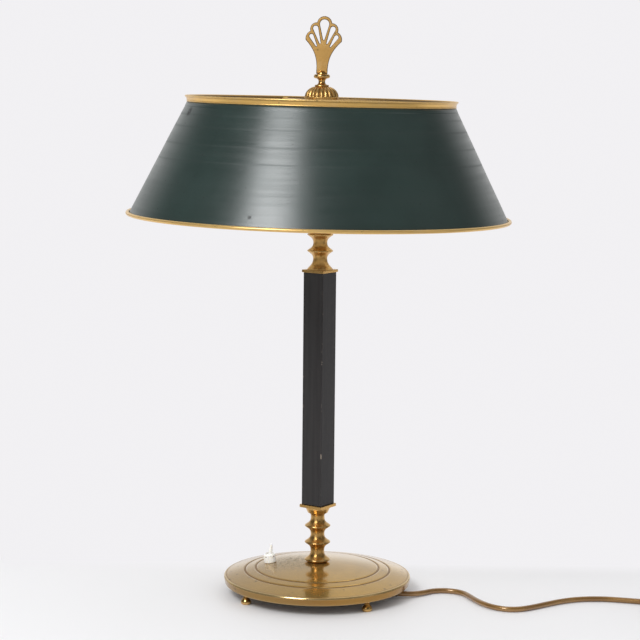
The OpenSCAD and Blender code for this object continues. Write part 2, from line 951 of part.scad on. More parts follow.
module switch_lever() {
    color(porcelain)
        at_switch()
        translate([0, 0, pivot_z])
        rotate([0, -switch_throw / 2, 0])
        difference() {
            union() {
                sphere(r = lever_ball_r);
                cylinder(r1 = lever_root_r, r2 = lever_tip_r, h = lever_h - lever_tip_r);
                translate([0, 0, lever_h - lever_tip_r]) sphere(r = lever_tip_r);
                translate([0, 0, -lever_tail]) cylinder(r = 1, h = lever_tail);
            }
            rotate([90, 0, 0])
                cylinder(r = pin_axis_r + fit, h = 3 * lever_ball_r, center = true);
        }
}

// --- wiring inside the lamp ---

module cord_gland() {
    color(bakelite)
        difference() {
            union() {
                translate([gland_x, gland_y, 0]) {
                    disc(8, 1, foot_h);
                    disc(gland_spigot_r, foot_h - eps, gland_spigot_top);
                }
                translate([gland_x, gland_y, gland_z])
                    rotate([0, 90, 0])
                    cylinder(r = gland_r, h = gland_face - gland_x);
            }
            translate([gland_x, gland_y, gland_z]) {
                rotate([0, 90, 0]) cylinder(r = cord_r + fit, h = gland_face - gland_x + eps);
                sphere(r = cord_r + fit);
                cylinder(r = cord_r + fit, h = gland_spigot_top - gland_z + eps);
            }
        }
}

module gland_nut() {
    color(steel)
        translate([gland_x, gland_y, 0])
        difference() {
            translate([0, 0, cover_top])
                cylinder(d = 13 / cos(30), h = gland_nut_top - cover_top, $fn = 6);
            disc(gland_spigot_r + fit, cover_top - eps, gland_nut_top + eps);
        }
}

module strain_relief() {
    color(bakelite)
        translate([gland_face, gland_y, gland_z])
        rotate([0, 90, 0])
        cylinder(r1 = relief_root_r, r2 = relief_tip_r, h = relief_end - gland_face);
}

module cord_end() {
    color(cord_gold)
        translate([gland_x, gland_y, gland_z])
        union() {
            rotate([0, 90, 0]) cylinder(r = cord_r, h = gland_face - gland_x);
            sphere(r = cord_r);
            cylinder(r = cord_r, h = cord_end_top - gland_z);
        }
}

module base_wire(route) {
    color(copper) sweep(route, wire_r, wire_sides, [0, 1, 0]);
}

module holder_wires(side) {
    bend_x = holder_x - arm_bend_r;
    color(copper)
        mirror([side < 0 ? 1 : 0, 0, 0])
        for (y = [-holder_wire_y, holder_wire_y])
            translate([0, y, 0]) {
                translate([holder_wire_start, 0, arm_z])
                    rotate([0, 90, 0])
                    cylinder(r = wire_r, h = bend_x - holder_wire_start, $fn = 16);
                translate([bend_x, 0, arm_z + arm_bend_r])
                    rotate([90, 0, 0])
                    rotate([0, 0, -90])
                    rotate_extrude(angle = 90)
                    translate([arm_bend_r, 0])
                    circle(r = wire_r, $fn = 16);
                translate([holder_x, 0, arm_z + arm_bend_r])
                    cylinder(r = wire_r, h = holder_low + holder_socket_h - arm_z - arm_bend_r,
                             $fn = 16);
            }
}

// --- cord and plug ---

module cord_lead() {
    color(cord_gold) sweep(lead_route, cord_r, cord_sides, [0, 0, 1]);
}

module cord_coil() {
    color(cord_gold)
        translate([coil_at[0], coil_at[1], 0])
        ring(coil_out_r, coil_in_r, 0, 2 * cord_d);
}

module cord_tail() {
    color(cord_gold) sweep(tail_route, cord_r, cord_sides, [0, 0, 1]);
}

// Frame at the end of the cord, its +X running on into the plug
module at_plug() {
    translate(plug_at) rotate([0, 0, plug_bearing]) children();
}

module plug_relief() {
    color(bakelite)
        at_plug()
        rotate([0, 90, 0])
        cylinder(r1 = cord_r + 0.4, r2 = 4.6, h = plug_relief_l);
}

// Flat body of the plug: wide where the fingers pull, narrower at the pins
module plug_body() {
    back = 6;
    waist = 26;
    color(bakelite)
        at_plug()
        translate([plug_relief_l, 0, -plug_t / 2])
        linear_extrude(plug_t)
        polygon([
            [0, -back], [0, back], [6, plug_w / 2 - 4], [12, plug_w / 2], [plug_l, plug_w / 2 - 2],
            [plug_l, 2 - plug_w / 2], [12, -plug_w / 2], [6, 4 - plug_w / 2]
        ]);
}

module plug_pins() {
    color(steel)
        at_plug()
        for (y = [-pin_gap / 2, pin_gap / 2])
            translate([plug_relief_l + plug_l, y, 0])
            rotate([0, 90, 0]) {
                cylinder(r = pin_r, h = pin_l - pin_r);
                translate([0, 0, pin_l - pin_r]) sphere(r = pin_r);
            }
}

// --- the lamp ---

foot(front_left);  // foot_front_left
foot(front_right);  // foot_front_right
foot(back_left);  // foot_back_left
foot(back_right);  // foot_back_right
base_shell();
ballast_disc();
bottom_cover();
tie_tube();
tie_washer();
tie_nut();
lower_spool();
lower_plate();
column();
upper_plate();
upper_spool();
cluster_body();
holder_arm(-1);  // holder_arm_left
holder_arm(1);  // holder_arm_right
lampholder(-1);  // lampholder_left
lampholder(1);  // lampholder_right
screw_shell(-1);  // screw_shell_left
screw_shell(1);  // screw_shell_right
centre_contact(-1);  // centre_contact_left
centre_contact(1);  // centre_contact_right
bulb_cap(-1);  // bulb_cap_left
bulb_cap(1);  // bulb_cap_right
bulb_glass(-1);  // bulb_glass_left
bulb_glass(1);  // bulb_glass_right
shade_rod();
shade_spider();
spider_rivets();
shade_skin();
shade_top_band();
shade_bottom_bead();
dome_cap();
finial_stem();
finial_palmette();
switch_body();
switch_terminals();
switch_bushing();
switch_collar();
switch_pivot_pin();
switch_lever();
cord_gland();
gland_nut();
strain_relief();
cord_end();
base_wire(live_in_route);  // wire_live_in
base_wire(live_out_route);  // wire_live_out
base_wire(neutral_route);  // wire_neutral
holder_wires(-1);  // holder_wires_left
holder_wires(1);  // holder_wires_right
cord_lead();
cord_coil();
cord_tail();
plug_relief();
plug_body();
plug_pins();
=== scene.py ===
# %% [markdown]
# # A bouillotte lamp
# A bouillotte lamp is a table lamp with two lights under one wide metal shade. This one has a
# brass foot plate, two turned spools, a square black column, a dark green shade with brass edges
# and a fan-shaped finial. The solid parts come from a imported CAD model, called the frame here.
# This notebook gives them their surfaces: it makes the pieces that show as fine meshes, paints
# every part, lays the cord on the table, and sets up the light.

# %% The frame
import json
from math import asin, cos, degrees, pi, radians, sin, tan

import bmesh
import bpy
import numpy as np
from mathutils import Matrix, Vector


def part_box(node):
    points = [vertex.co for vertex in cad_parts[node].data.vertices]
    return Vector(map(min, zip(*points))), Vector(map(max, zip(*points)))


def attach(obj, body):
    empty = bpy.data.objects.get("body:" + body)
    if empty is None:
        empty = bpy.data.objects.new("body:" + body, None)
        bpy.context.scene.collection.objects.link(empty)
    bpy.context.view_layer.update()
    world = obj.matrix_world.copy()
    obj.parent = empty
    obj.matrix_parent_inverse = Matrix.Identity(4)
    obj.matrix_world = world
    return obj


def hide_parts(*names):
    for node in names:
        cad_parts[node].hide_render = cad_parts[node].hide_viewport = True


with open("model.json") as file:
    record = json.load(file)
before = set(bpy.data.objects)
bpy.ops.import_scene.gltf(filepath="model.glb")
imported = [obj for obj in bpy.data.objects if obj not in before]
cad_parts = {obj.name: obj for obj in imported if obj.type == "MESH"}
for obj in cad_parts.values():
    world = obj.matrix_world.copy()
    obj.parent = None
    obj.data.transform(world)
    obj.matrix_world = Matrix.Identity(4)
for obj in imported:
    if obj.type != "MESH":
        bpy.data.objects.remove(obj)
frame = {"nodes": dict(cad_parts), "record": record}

scene = bpy.context.scene
MM = 0.001                                  # the frame is in metres, this notebook in millimetres
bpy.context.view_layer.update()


def low(node):
    """Lowest corner of a CAD node, in millimetres."""
    return np.array(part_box(node)[0]) / MM


def high(node):
    """Highest corner of a CAD node, in millimetres."""
    return np.array(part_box(node)[1]) / MM


def put(name, data):
    """Makes an object of a mesh, curve, light or camera and puts it into the scene."""
    added = bpy.data.objects.new(name, data)
    scene.collection.objects.link(added)
    return added


def shift(x, y, z):
    """Matrix that moves by millimetres."""
    return Matrix.Translation((x * MM, y * MM, z * MM))


def spin(angle, axis):
    """Matrix that turns by an angle in radians about the X, Y or Z axis."""
    return Matrix.Rotation(angle, 4, axis)


# %% [markdown]
# ## The camera
# The viewer sits in front of the lamp with the eye a little below the finial. A long lens keeps
# the column nearly parallel. The camera could be aimed with a Track To constraint, but a matrix
# made of four plain steps is exact and easy to read: move to the eye, turn sideways, tip down,
# roll.

# %% Camera
EYE = (0, -1992.6, 544.7)
SENSOR_W = 36
LENS = 108.26
TIP_DOWN = 7.26                             # in degrees, as the next two
TURN = -0.013
ROLL = 0.55

camera = put("camera", bpy.data.cameras.new("camera"))
camera.data.sensor_width = SENSOR_W
camera.data.lens = LENS
camera.matrix_world = (shift(*EYE) @ spin(radians(TURN), "Z")
                       @ spin(radians(90 - TIP_DOWN), "X") @ spin(radians(ROLL), "Z"))
scene.camera = camera
scene.view_settings.view_transform = "Standard"
print("camera", tuple(round(v) for v in EYE), "mm, lens", LENS)

# %% [markdown]
# ## Surfaces from grids
# Nearly every piece of this lamp was turned on a lathe, drawn through a die or bent from sheet,
# so its surface is a function of two numbers: one along an outline, one around it. Such a surface
# is a grid of points. Primitives and booleans could give the same shapes, but a grid gives clean
# quads, exact places and points for every later step, and numpy works it out all at once.

# %% Grid helpers


def grid_faces(rows, columns, loop, ring):
    """Corner numbers of the quads of a grid. ring joins the last column to the first, and loop
    joins the last row to the first. The last item of each pair counts on past the seam."""
    i = np.arange(rows if loop else rows - 1)[:, None, None]
    j = np.arange(columns if ring else columns - 1)[None, :, None]
    row = i + np.array([0, 0, 1, 1])
    column = j + np.array([0, 1, 1, 0])
    row, column = np.broadcast_arrays(row, column)
    corners = (row % rows) * columns + column % columns
    return corners.reshape(-1, 4), row.reshape(-1), column.reshape(-1)


def merge(mesh, distance=0.001 * MM):
    """Joins points that lie on each other, such as those of a pole."""
    work = bmesh.new()
    work.from_mesh(mesh)
    bmesh.ops.remove_doubles(work, verts=work.verts, dist=distance)
    work.to_mesh(mesh)
    work.free()


def grid_piece(name, grid, loop=False, ring=True, marks=None, uv=None):
    """Object from a grid of points in millimetres, of shape (rows, columns, 3). marks are named
    numbers for the points, one for each row or for each point. uv is a pair of arrays, the first
    with a value for each row and the second with one for each column, both one longer than the
    grid where it is joined."""
    rows, columns = grid.shape[:2]
    faces, row, column = grid_faces(rows, columns, loop, ring)
    mesh = bpy.data.meshes.new(name)
    mesh.vertices.add(rows * columns)
    mesh.vertices.foreach_set("co", (grid * MM).astype(np.float32).ravel())
    mesh.loops.add(faces.size)
    mesh.loops.foreach_set("vertex_index", faces.ravel().astype(np.int32))
    mesh.polygons.add(len(faces))
    mesh.polygons.foreach_set("loop_start", np.arange(0, faces.size, 4, dtype=np.int32))
    for mark, values in (marks or {}).items():
        values = np.asarray(values, float)
        if values.ndim == 1:
            values = np.repeat(values[:, None], columns, 1)
        attribute = mesh.attributes.new(mark, "FLOAT", "POINT")
        attribute.data.foreach_set("value", values.astype(np.float32).ravel())
    if uv is not None:
        pairs = np.stack([uv[0][row], uv[1][column]], -1)
        mesh.uv_layers.new(name="UVMap").data.foreach_set("uv", pairs.astype(np.float32).ravel())
    mesh.update(calc_edges=True)
    merge(mesh)
    mesh.shade_smooth()
    return put(name, mesh)


# %% Curve helpers


def smooth(value, start, end):
    """0 up to start, 1 from end on, and 3s^2 - 2s^3 between them, where s grows evenly."""
    s = np.clip((value - start) / (end - start), 0, 1)
    return s * s * (3 - 2 * s)


def oval(angle, power):
    """The curve |u|^power + |v|^power = 1: a circle for 2, and squarer the higher the power."""
    u, v = np.cos(angle), np.sin(angle)
    return np.sign(u) * np.abs(u) ** (2 / power), np.sign(v) * np.abs(v) ** (2 / power)


def flowing(points, step):
    """Smooth curve through points: between two of them it is the cubic that leaves each along the
    line from its neighbour before to its neighbour after, known as a Catmull-Rom spline."""
    p = np.asarray(points, float)
    p = np.concatenate([2 * p[:1] - p[1:2], p, 2 * p[-1:] - p[-2:-1]])
    stretches = []
    for a, b, c, d in zip(p, p[1:], p[2:], p[3:]):
        count = max(2, int(round(np.linalg.norm(c - b) / step)))
        t = np.arange(count)[:, None] / count
        stretches.append(0.5 * (2 * b + (c - a) * t + (2 * a - 5 * b + 4 * c - d) * t ** 2
                                + (3 * b - 3 * c + d - a) * t ** 3))
    return np.concatenate([*stretches, p[-2:-1]])


def tube(path, radius, sides):
    """Points of a tube: around each point of the path a circle, square to the path."""
    ahead = np.gradient(path, axis=0)
    ahead /= np.linalg.norm(ahead, axis=1, keepdims=True)
    side = np.cross(ahead, [0.0, 0.0, 1.0])
    side /= np.linalg.norm(side, axis=1, keepdims=True)
    up = np.cross(side, ahead)
    angle = np.linspace(0, -2 * pi, sides, endpoint=False)[None, :, None]
    radius = np.broadcast_to(radius, len(path))[:, None, None]
    return path[:, None] + radius * (np.cos(angle) * side[:, None] + np.sin(angle) * up[:, None])


def closed_ends(grid):
    """Adds the centre of the first and of the last row, so that flat faces close the ends."""
    first = np.repeat(grid[:1].mean(1, keepdims=True), grid.shape[1], 1)
    last = np.repeat(grid[-1:].mean(1, keepdims=True), grid.shape[1], 1)
    return np.concatenate([first, grid, last])


# %% Who carries a piece


def belongs(piece, material, body, slot, *nodes):
    """Paints a piece, says which body carries it and which CAD nodes it stands for, and hides
    those nodes. slot, the name of its finish, is not used."""
    piece.data.materials.append(material)
    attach(piece, body)
    if nodes:
        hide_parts(*nodes)
    print(piece.name, len(piece.data.polygons), "faces on", body)


# %% [markdown]
# ## Finishes in code
# A finish is a small network of shader nodes. Wiring it by hand is slow to write and hard to
# read, so one class stands for the output of a node: sums and products of such wires add the Math
# nodes. Only the sockets that may vary over a surface get a wire, and all other values are set on
# the shader itself.

# %% Wires


class Wire:
    """The output of a node. Arithmetic with wires and numbers adds Math nodes."""

    def __init__(self, network, socket):
        self.network = network
        self.socket = socket

    def math(self, operation, first, second=0.0):
        return self.network.node("Math", {"operation": operation}, {0: first, 1: second})

    def other(self, output):
        """Another output of the same node."""
        return Wire(self.network, self.socket.node.outputs[output])

    def __add__(self, other):
        return self.math("ADD", self, other)

    def __radd__(self, other):
        return self.math("ADD", other, self)

    def __sub__(self, other):
        return self.math("SUBTRACT", self, other)

    def __rsub__(self, other):
        return self.math("SUBTRACT", other, self)

    def __mul__(self, other):
        return self.math("MULTIPLY", self, other)

    def __rmul__(self, other):
        return self.math("MULTIPLY", other, self)

    def __truediv__(self, other):
        return self.math("DIVIDE", self, other)

    def __rtruediv__(self, other):
        return self.math("DIVIDE", other, self)

    def __pow__(self, other):
        return self.math("POWER", self, other)

    def __rpow__(self, other):
        return self.math("POWER", other, self)

    def __abs__(self):
        return self.math("ABSOLUTE", self)

    def sin(self):
        return self.math("SINE", self)

    def rises(self, start, end):
        """0 up to start, 1 from end on, and a smooth step between them. It falls if start is the
        larger one."""
        return self.network.node(
            "MapRange", {"interpolation_type": "SMOOTHSTEP"},
            {"Value": self, "From Min": start, "From Max": end, "To Min": 0.0, "To Max": 1.0})


# %% Networks and finishes


class Network:
    """The nodes of a material or of the world."""

    def __init__(self, tree):
        self.tree = tree

    def node(self, kind, settings, inputs, output=0):
        """Adds one node: first its settings, then the values or wires of its sockets."""
        added = self.tree.nodes.new("ShaderNode" + kind)
        for setting, value in settings.items():
            setattr(added, setting, value)
        for socket, value in inputs.items():
            if isinstance(value, Wire):
                self.tree.links.new(value.socket, added.inputs[socket])
            else:
                added.inputs[socket].default_value = value
        return Wire(self, added.outputs[output])


class Finish(Network):
    """A material whose networks are written as expressions. Places are in millimetres."""

    def __init__(self, name, **constants):
        self.material = bpy.data.materials.new(name)
        self.material.use_nodes = True
        super().__init__(self.material.node_tree)
        self.shader = self.tree.nodes["Principled BSDF"]
        for socket, value in constants.items():
            self.shader.inputs[socket.replace("_", " ")].default_value = value
        place = self.node("TexCoord", {}, {}, "Object")
        self.place = self.node("VectorMath", {"operation": "SCALE"}, {0: place, "Scale": 1 / MM})
        self.x = self.node("SeparateXYZ", {}, {0: self.place})
        self.y = self.x.other(1)
        self.z = self.x.other(2)

    def set(self, **wires):
        """Feeds the shader's sockets."""
        for socket, wire in wires.items():
            self.tree.links.new(wire.socket, self.shader.inputs[socket.replace("_", " ")])

    def mark(self, name):
        """A number that the mesh holds for each of its points."""
        return self.node("Attribute", {"attribute_name": name}, {}, "Fac")

    def mix(self, first, second, share):
        """Blends two colours."""
        colours = [c if isinstance(c, Wire) else (*c, 1.0) for c in (first, second)]
        return self.node("Mix", {"data_type": "RGBA"}, {0: share, 6: colours[0], 7: colours[1]}, 2)

    def stretched(self, x, y, z):
        """The place, with each direction multiplied."""
        return self.node("VectorMath", {"operation": "MULTIPLY"}, {0: self.place, 1: (x, y, z)})

    def radius(self):
        """Distance from the lamp's axis."""
        return (self.x * self.x + self.y * self.y) ** 0.5

    def round_place(self, along, across):
        """A place for marks that run around the axis: the radius and the height count along times,
        the way round across times."""
        r = self.radius()
        return self.node("CombineXYZ", {}, {0: r * along, 1: self.z * along,
                                            2: (self.x + 0.6 * self.y) * across})

    def noise(self, size, detail=2.0, at=None, rough=0.5):
        """Soft random values around 0.5, with features of about that size."""
        return self.node("TexNoise", {}, {"Vector": at or self.place, "Scale": 1.0 / size,
                                          "Detail": detail, "Roughness": rough})

    def spots(self, size, share):
        """Small round spots, 1 inside, on about that share of the cells."""
        cells = self.node("TexVoronoi", {}, {"Vector": self.place, "Scale": 1.0 / size})
        pick = self.node("SeparateColor", {}, {0: cells.other("Color")})
        return cells.rises(0.32, 0.12) * pick.rises(1 - share, 1 - 0.7 * share)

    def near(self, x, y, z, reach):
        """1 at a point, falling to 0 at that distance from it."""
        gap = self.node("VectorMath", {"operation": "DISTANCE"},
                        {0: self.place, 1: (x, y, z)}, "Value")
        return gap.rises(reach, 0.25 * reach)

    def relief(self, height):
        """A Bump node for heights in millimetres."""
        return self.node("Bump", {}, {"Height": height, "Distance": MM, "Strength": 1.0})


# %% [markdown]
# ## The cord
# The cord leaves a gland under the foot plate, runs off over the table and is stored as a neat
# coil with its plug beside it. A rope simulation could lay it, but a cord that has settled is
# simply a smooth line on the table, so its line is drawn once, as listed points, and the coil is
# a spiral worked out turn by turn: inwards on the table, then outwards on top of that layer.

# %% Route of the cord
CORD_R = 2.8
LEAD = [
    (84, -24, 5.3), (92, -23.8, 4.9), (102, -20.5, 4.1), (112, -13, 3.3), (121.5, -5, 2.8),
    (133, -2, 2.8), (145, -4.5, 2.8), (154.5, -12, 2.8), (160.5, -24.5, 2.8), (165.5, -38, 2.8),
    (172.5, -52, 2.8), (182, -64, 2.8), (195, -71.5, 2.8), (209, -70.5, 2.8),
    (223, -62.5, 2.8), (237, -52, 2.8), (252, -41.5, 2.8), (268, -33.5, 2.8), (285, -29.5, 2.8),
    (303, -29.5, 2.8), (320, -33, 2.8), (337, -37.5, 2.8), (354, -41.5, 2.8),
    (372, -43.5, 2.8), (388, -44, 2.8),
]
TAIL = [
    (433, -91, 8.2), (432.2, -102, 7.1), (429.6, -113, 5.4), (424.6, -123.5, 4.3),
    (421.3, -128.4, 4.2), (417.6, -133, 4.9), (413.8, -137.3, 6.3), (410, -141.6, 6.9),
]
COIL_AT = (390, -87)
COIL_R = 43
COIL_TURNS = 3.125                          # in each of the two layers
COIL_SOFT = 0.8                             # eases the change from inwards to outwards
CLIMB = (2.98, 3.40)                        # turns at which the cord climbs to the second layer


def coil_path(points_per_turn):
    """Spiral: the bearing falls by a full turn each turn, the radius shrinks by a cord's width
    each turn until the middle and grows again after it, and the height rises by a cord's width
    where it climbs."""
    t = np.linspace(0, 2 * COIL_TURNS, int(2 * COIL_TURNS * points_per_turn) + 1)[1:]
    pitch = 2 * CORD_R
    reach = COIL_R - np.hypot(pitch * COIL_TURNS, COIL_SOFT)
    r = reach + np.hypot(pitch * (t - COIL_TURNS), COIL_SOFT)
    a = pi / 2 - 2 * pi * t
    z = CORD_R + pitch * smooth(t, *CLIMB)
    return np.stack([COIL_AT[0] + r * np.cos(a), COIL_AT[1] + r * np.sin(a), z], -1)


STEP = 2.0                                  # between points along the loose parts
cord_path = np.concatenate([flowing(LEAD, STEP), coil_path(72), flowing(TAIL, STEP)])
cord_path[:, 2] = np.maximum(cord_path[:, 2], CORD_R)
cord_along = np.concatenate([[0], np.cumsum(np.linalg.norm(np.diff(cord_path, axis=0), axis=1))])
print("cord", round(cord_along[-1]), "mm,", len(cord_path), "points")

# %% [markdown]
# The cover of the cord is two golden-brown yarns twisted together and lacquered, so it is nearly
# smooth and shines along its top. A helix of real yarns would need millions of faces. Here the
# yarns are stripes that run around the tube, drawn on its own map: one number along the cord, one
# around it.

# %% Cord finish and mesh
YARNS = (3.4, 2)                            # length of a wave along the cord, and waves around it
FIBRES = (0.85, 12)
CORD_SIDES = 20


def cord_finish():
    """Lacquered yarns: sine waves that run along and around the cord at once, with painted shade
    between two yarns, over soft clouds of a lighter brown."""
    f = Finish("gold_cord", Metallic=0.5, Coat_Weight=1.0, Coat_Roughness=0.13, Coat_IOR=1.6)
    map_place = f.node("UVMap", {"uv_map": "UVMap"}, {})
    along = f.node("SeparateXYZ", {}, {0: map_place})
    around = along.other(1)
    yarn, fibre = [(along * (2 * pi / wave) + around * (2 * pi * count)).sin()
                   for wave, count in (YARNS, FIBRES)]
    between = 0.5 - 0.5 * yarn
    cloud = f.noise(26, 3)
    brown = f.mix((0.27, 0.135, 0.033), (0.35, 0.185, 0.048), cloud.rises(0.35, 0.65))
    # Painted shade: the colour is darker in the grooves between two yarns.
    f.set(Base_Color=f.mix(brown, (0.20, 0.10, 0.03), between * 0.2),
          Roughness=0.25 + 0.08 * f.noise(5, 3) + between * 0.06,
          Normal=f.relief(yarn * 0.006 + fibre * 0.003 + f.noise(0.7, 2) * 0.004))
    return f.material


cord_cover = cord_finish()
cord_grid = closed_ends(tube(cord_path, CORD_R, CORD_SIDES))
cord_rows = np.concatenate([cord_along[:1], cord_along, cord_along[-1:]])
cord = grid_piece("cord", cord_grid, uv=(cord_rows, np.arange(CORD_SIDES + 1) / CORD_SIDES))
belongs(cord, cord_cover, "stand", "gold_cord", "cord_lead", "cord_coil", "cord_tail")

# %% [markdown]
# ## Turned pieces
# A lathe cuts one outline around an axis. The outline is a list of radius and height, and
# `turned` carries it around. Sharp corners on a real turning are broken by a file, and a
# mathematically sharp corner never catches the light, so `eased` swaps each corner for a small
# curve. Two extra points next to each curve keep the flat parts flat when Blender smooths them.

# %% Lathe


def eased(corners, closed=True, steps=5):
    """Outline through corners (radius, height, ease). A corner becomes the parabola that leaves
    its two sides at the distance ease from the corner, and is kept sharp where ease is 0."""
    spots = np.array([c[:2] for c in corners], float)
    out = []
    t = np.linspace(0, 1, steps + 1)[:, None]
    for i, corner in enumerate(corners):
        here, ease = spots[i], corner[2]
        if ease == 0 or (not closed and i in (0, len(corners) - 1)):
            out.append(here[None])
            continue
        before, after = spots[i - 1] - here, spots[(i + 1) % len(spots)] - here
        a, b = before / np.linalg.norm(before), after / np.linalg.norm(after)
        ease_a = min(ease, 0.42 * np.linalg.norm(before))
        ease_b = min(ease, 0.42 * np.linalg.norm(after))
        start, end = here + a * ease_a, here + b * ease_b
        curve = (1 - t) ** 2 * start + 2 * t * (1 - t) * here + t ** 2 * end
        out.append(np.concatenate([[start + a * 0.15 * ease_a], curve, [end + b * 0.15 * ease_b]]))
    return np.concatenate(out)


def arc(x, z, r, start, end, steps):
    """Points of a circle's arc about x, z."""
    a = np.radians(np.linspace(start, end, steps + 1))
    return np.stack([x + r * np.cos(a), z + r * np.sin(a)], -1)


def hollowness(outline, closed, reach):
    """How far a blurred copy of the outline stands outside it, in units of reach: above 0 in a
    hollow, where polish and dust gather, and below 0 on an edge, where hands rub."""
    step = np.linalg.norm(np.diff(outline, axis=0, append=outline[:1]), axis=1)
    if not closed:
        step[-1] = step[-2]
    s = np.cumsum(step) - step
    gap = np.abs(s[:, None] - s)
    if closed:
        gap = np.minimum(gap, step.sum() - gap)
    weight = np.exp(-0.5 * (gap / reach) ** 2) * (0.5 * (step + np.roll(step, 1)) + 1e-9)
    blurred = weight @ outline / weight.sum(1, keepdims=True)
    ahead = np.roll(outline, -1, 0) - np.roll(outline, 1, 0)
    if not closed:
        ahead = np.gradient(outline, axis=0)
    outward = np.stack([ahead[:, 1], -ahead[:, 0]], -1)
    outward /= np.linalg.norm(outward, axis=1, keepdims=True) + 1e-9
    return ((blurred - outline) * outward).sum(1) / reach


def turned(name, outline, around=96, centre=(0, 0), reach=2.0, wobble=None, marks=None):
    """Carries an outline of radius and height around a standing axis. An outline that starts on
    the axis is open, and any other closes on itself."""
    outline = np.asarray(outline, float)
    closed = outline[0, 0] > 0.01
    angle = np.linspace(0, 2 * pi, around, endpoint=False)
    r, z = outline[:, :1], outline[:, 1:]
    if wobble is not None:
        r = r + wobble(r, z, angle)
    grid = np.stack([centre[0] + r * np.cos(angle), centre[1] + r * np.sin(angle),
                     z + 0 * angle], -1)
    all_marks = {"hollow": hollowness(outline, closed, reach)}
    all_marks.update(marks or {})
    return grid_piece(name, grid, loop=closed, marks=all_marks)


# %% [markdown]
# ## Brass
# The turned parts are polished brass that has been handled for decades: bright and warm on the
# ridges, browner in the hollows, with fine rings from the lathe. The foot plate is the same metal
# under an old clear lacquer that has gone grey and spotted. Brass needs no picture: its look is
# its colour, a low roughness, and small changes of both.

# %% Brass finishes
BRASS = (0.66, 0.40, 0.135)
BRASS_PALE = (0.80, 0.56, 0.26)
BRASS_DEEP = (0.33, 0.16, 0.038)
BRASS_BROWN = (0.12, 0.065, 0.022)


def brass_finish(name, rough, dark, plain=BRASS, metal=1.0, lathe=0.006, streaks=0.0):
    """Brass with darker hollows, paler edges, lathe rings and a few spots. lathe is the height of
    the rings and streaks is how far they draw a reflection out along the axis. metal below 1 makes
    it duller, as under a film of dirt."""
    f = Finish(name, Metallic=metal, Anisotropic=streaks, Anisotropic_Rotation=0.25)
    hollow = f.mark("hollow")
    rings = f.noise(0.5, 2, f.round_place(1.0, 0.04))
    cloud = f.noise(11, 3)
    pale = cloud.rises(0.5, 0.75) * 0.35 + hollow.rises(-0.02, -0.25) * 0.3
    colour = f.mix(plain, BRASS_PALE, pale)
    tarnish = hollow.rises(0.02, 0.30) * dark * (0.35 + 0.65 * cloud.rises(0.3, 0.6))
    colour = f.mix(colour, BRASS_DEEP, tarnish * 0.75 + f.noise(3.2, 3).rises(0.62, 0.78) * 0.18)
    colour = f.mix(colour, BRASS_BROWN, f.spots(4.5, 0.12) * 0.5)
    # Painted shade: marked points, the inner face of the shade's top band and the rounded edges of
    # the fan, are painted dark brown and made rougher.
    stain_and_shade = f.mark("stain_and_shade")
    colour = f.mix(colour, BRASS_BROWN, stain_and_shade * 0.95)
    f.set(Base_Color=colour,
          Roughness=rough + 0.09 * cloud + 0.06 * rings + 0.22 * tarnish + 0.2 * stain_and_shade,
          Normal=f.relief(rings * lathe + f.noise(2.2, 2) * 0.006))
    return f.material


polished_brass = brass_finish("polished_brass", rough=0.20, dark=1.0)
spool_brass = brass_finish("spool_brass", rough=0.20, dark=1.0, lathe=0.014, streaks=0.75)
satin_brass = brass_finish("satin_brass", rough=0.30, dark=0.6, plain=(0.70, 0.41, 0.125),
                           metal=0.65)
edge_brass = brass_finish("edge_brass", rough=0.22, dark=0.6, plain=(0.84, 0.53, 0.165),
                          metal=0.68)
cap_brass = brass_finish("cap_brass", rough=0.30, dark=1.8, plain=(0.74, 0.46, 0.155),
                         metal=0.95, lathe=0.0)
foot_brass = brass_finish("foot_brass", rough=0.14, dark=1.3)
print("brass finishes made")

# %% [markdown]
# ## Foot plate
# The foot plate is a shallow dome spun from sheet over a form, with two engraved rings, a short
# upright rim and the edge turned in underneath. The outline is the dome's circle with the rings
# cut into it as smooth dips, so the surface stays one grid and the rings need no boolean.

# %% Foot plate outline
BASE_R = high("base_shell")[0]
SEAT_Z = high("base_shell")[2]
BASE_LOW = low("base_shell")[2]
CROWN_Z = SEAT_Z + 0.2
RIM_Z = 19.0
SHEET = 2.0
DOME_RISE = CROWN_Z - RIM_Z
DOME_R = (BASE_R ** 2 + DOME_RISE ** 2) / (2 * DOME_RISE)
RINGS = (65.0, 76.4)
RING_DEPTH = 0.55
RING_HALF = 2.5
RIM_INSET = 1.3
BORE_R = 5.3


def dome_at(r):
    """Height of the dome at radius r, a circle about a point far below."""
    return CROWN_Z - DOME_R + np.sqrt(DOME_R ** 2 - np.square(r))


def plate_top():
    """The dome from its edge to its bore. Each ring is a dip that follows a squared cosine."""
    near_rings = [ring + np.linspace(-RING_HALF, RING_HALF, 35) for ring in RINGS]
    r = np.unique(np.concatenate([np.linspace(BORE_R, BASE_R - 2.6, 84), *near_rings]))[::-1]
    z = dome_at(r)
    for ring in RINGS:
        gap = np.clip(np.abs(r - ring) / RING_HALF, 0, 1)
        z = z - RING_DEPTH * np.cos(gap * pi / 2) ** 2
    return np.stack([r, z], -1)


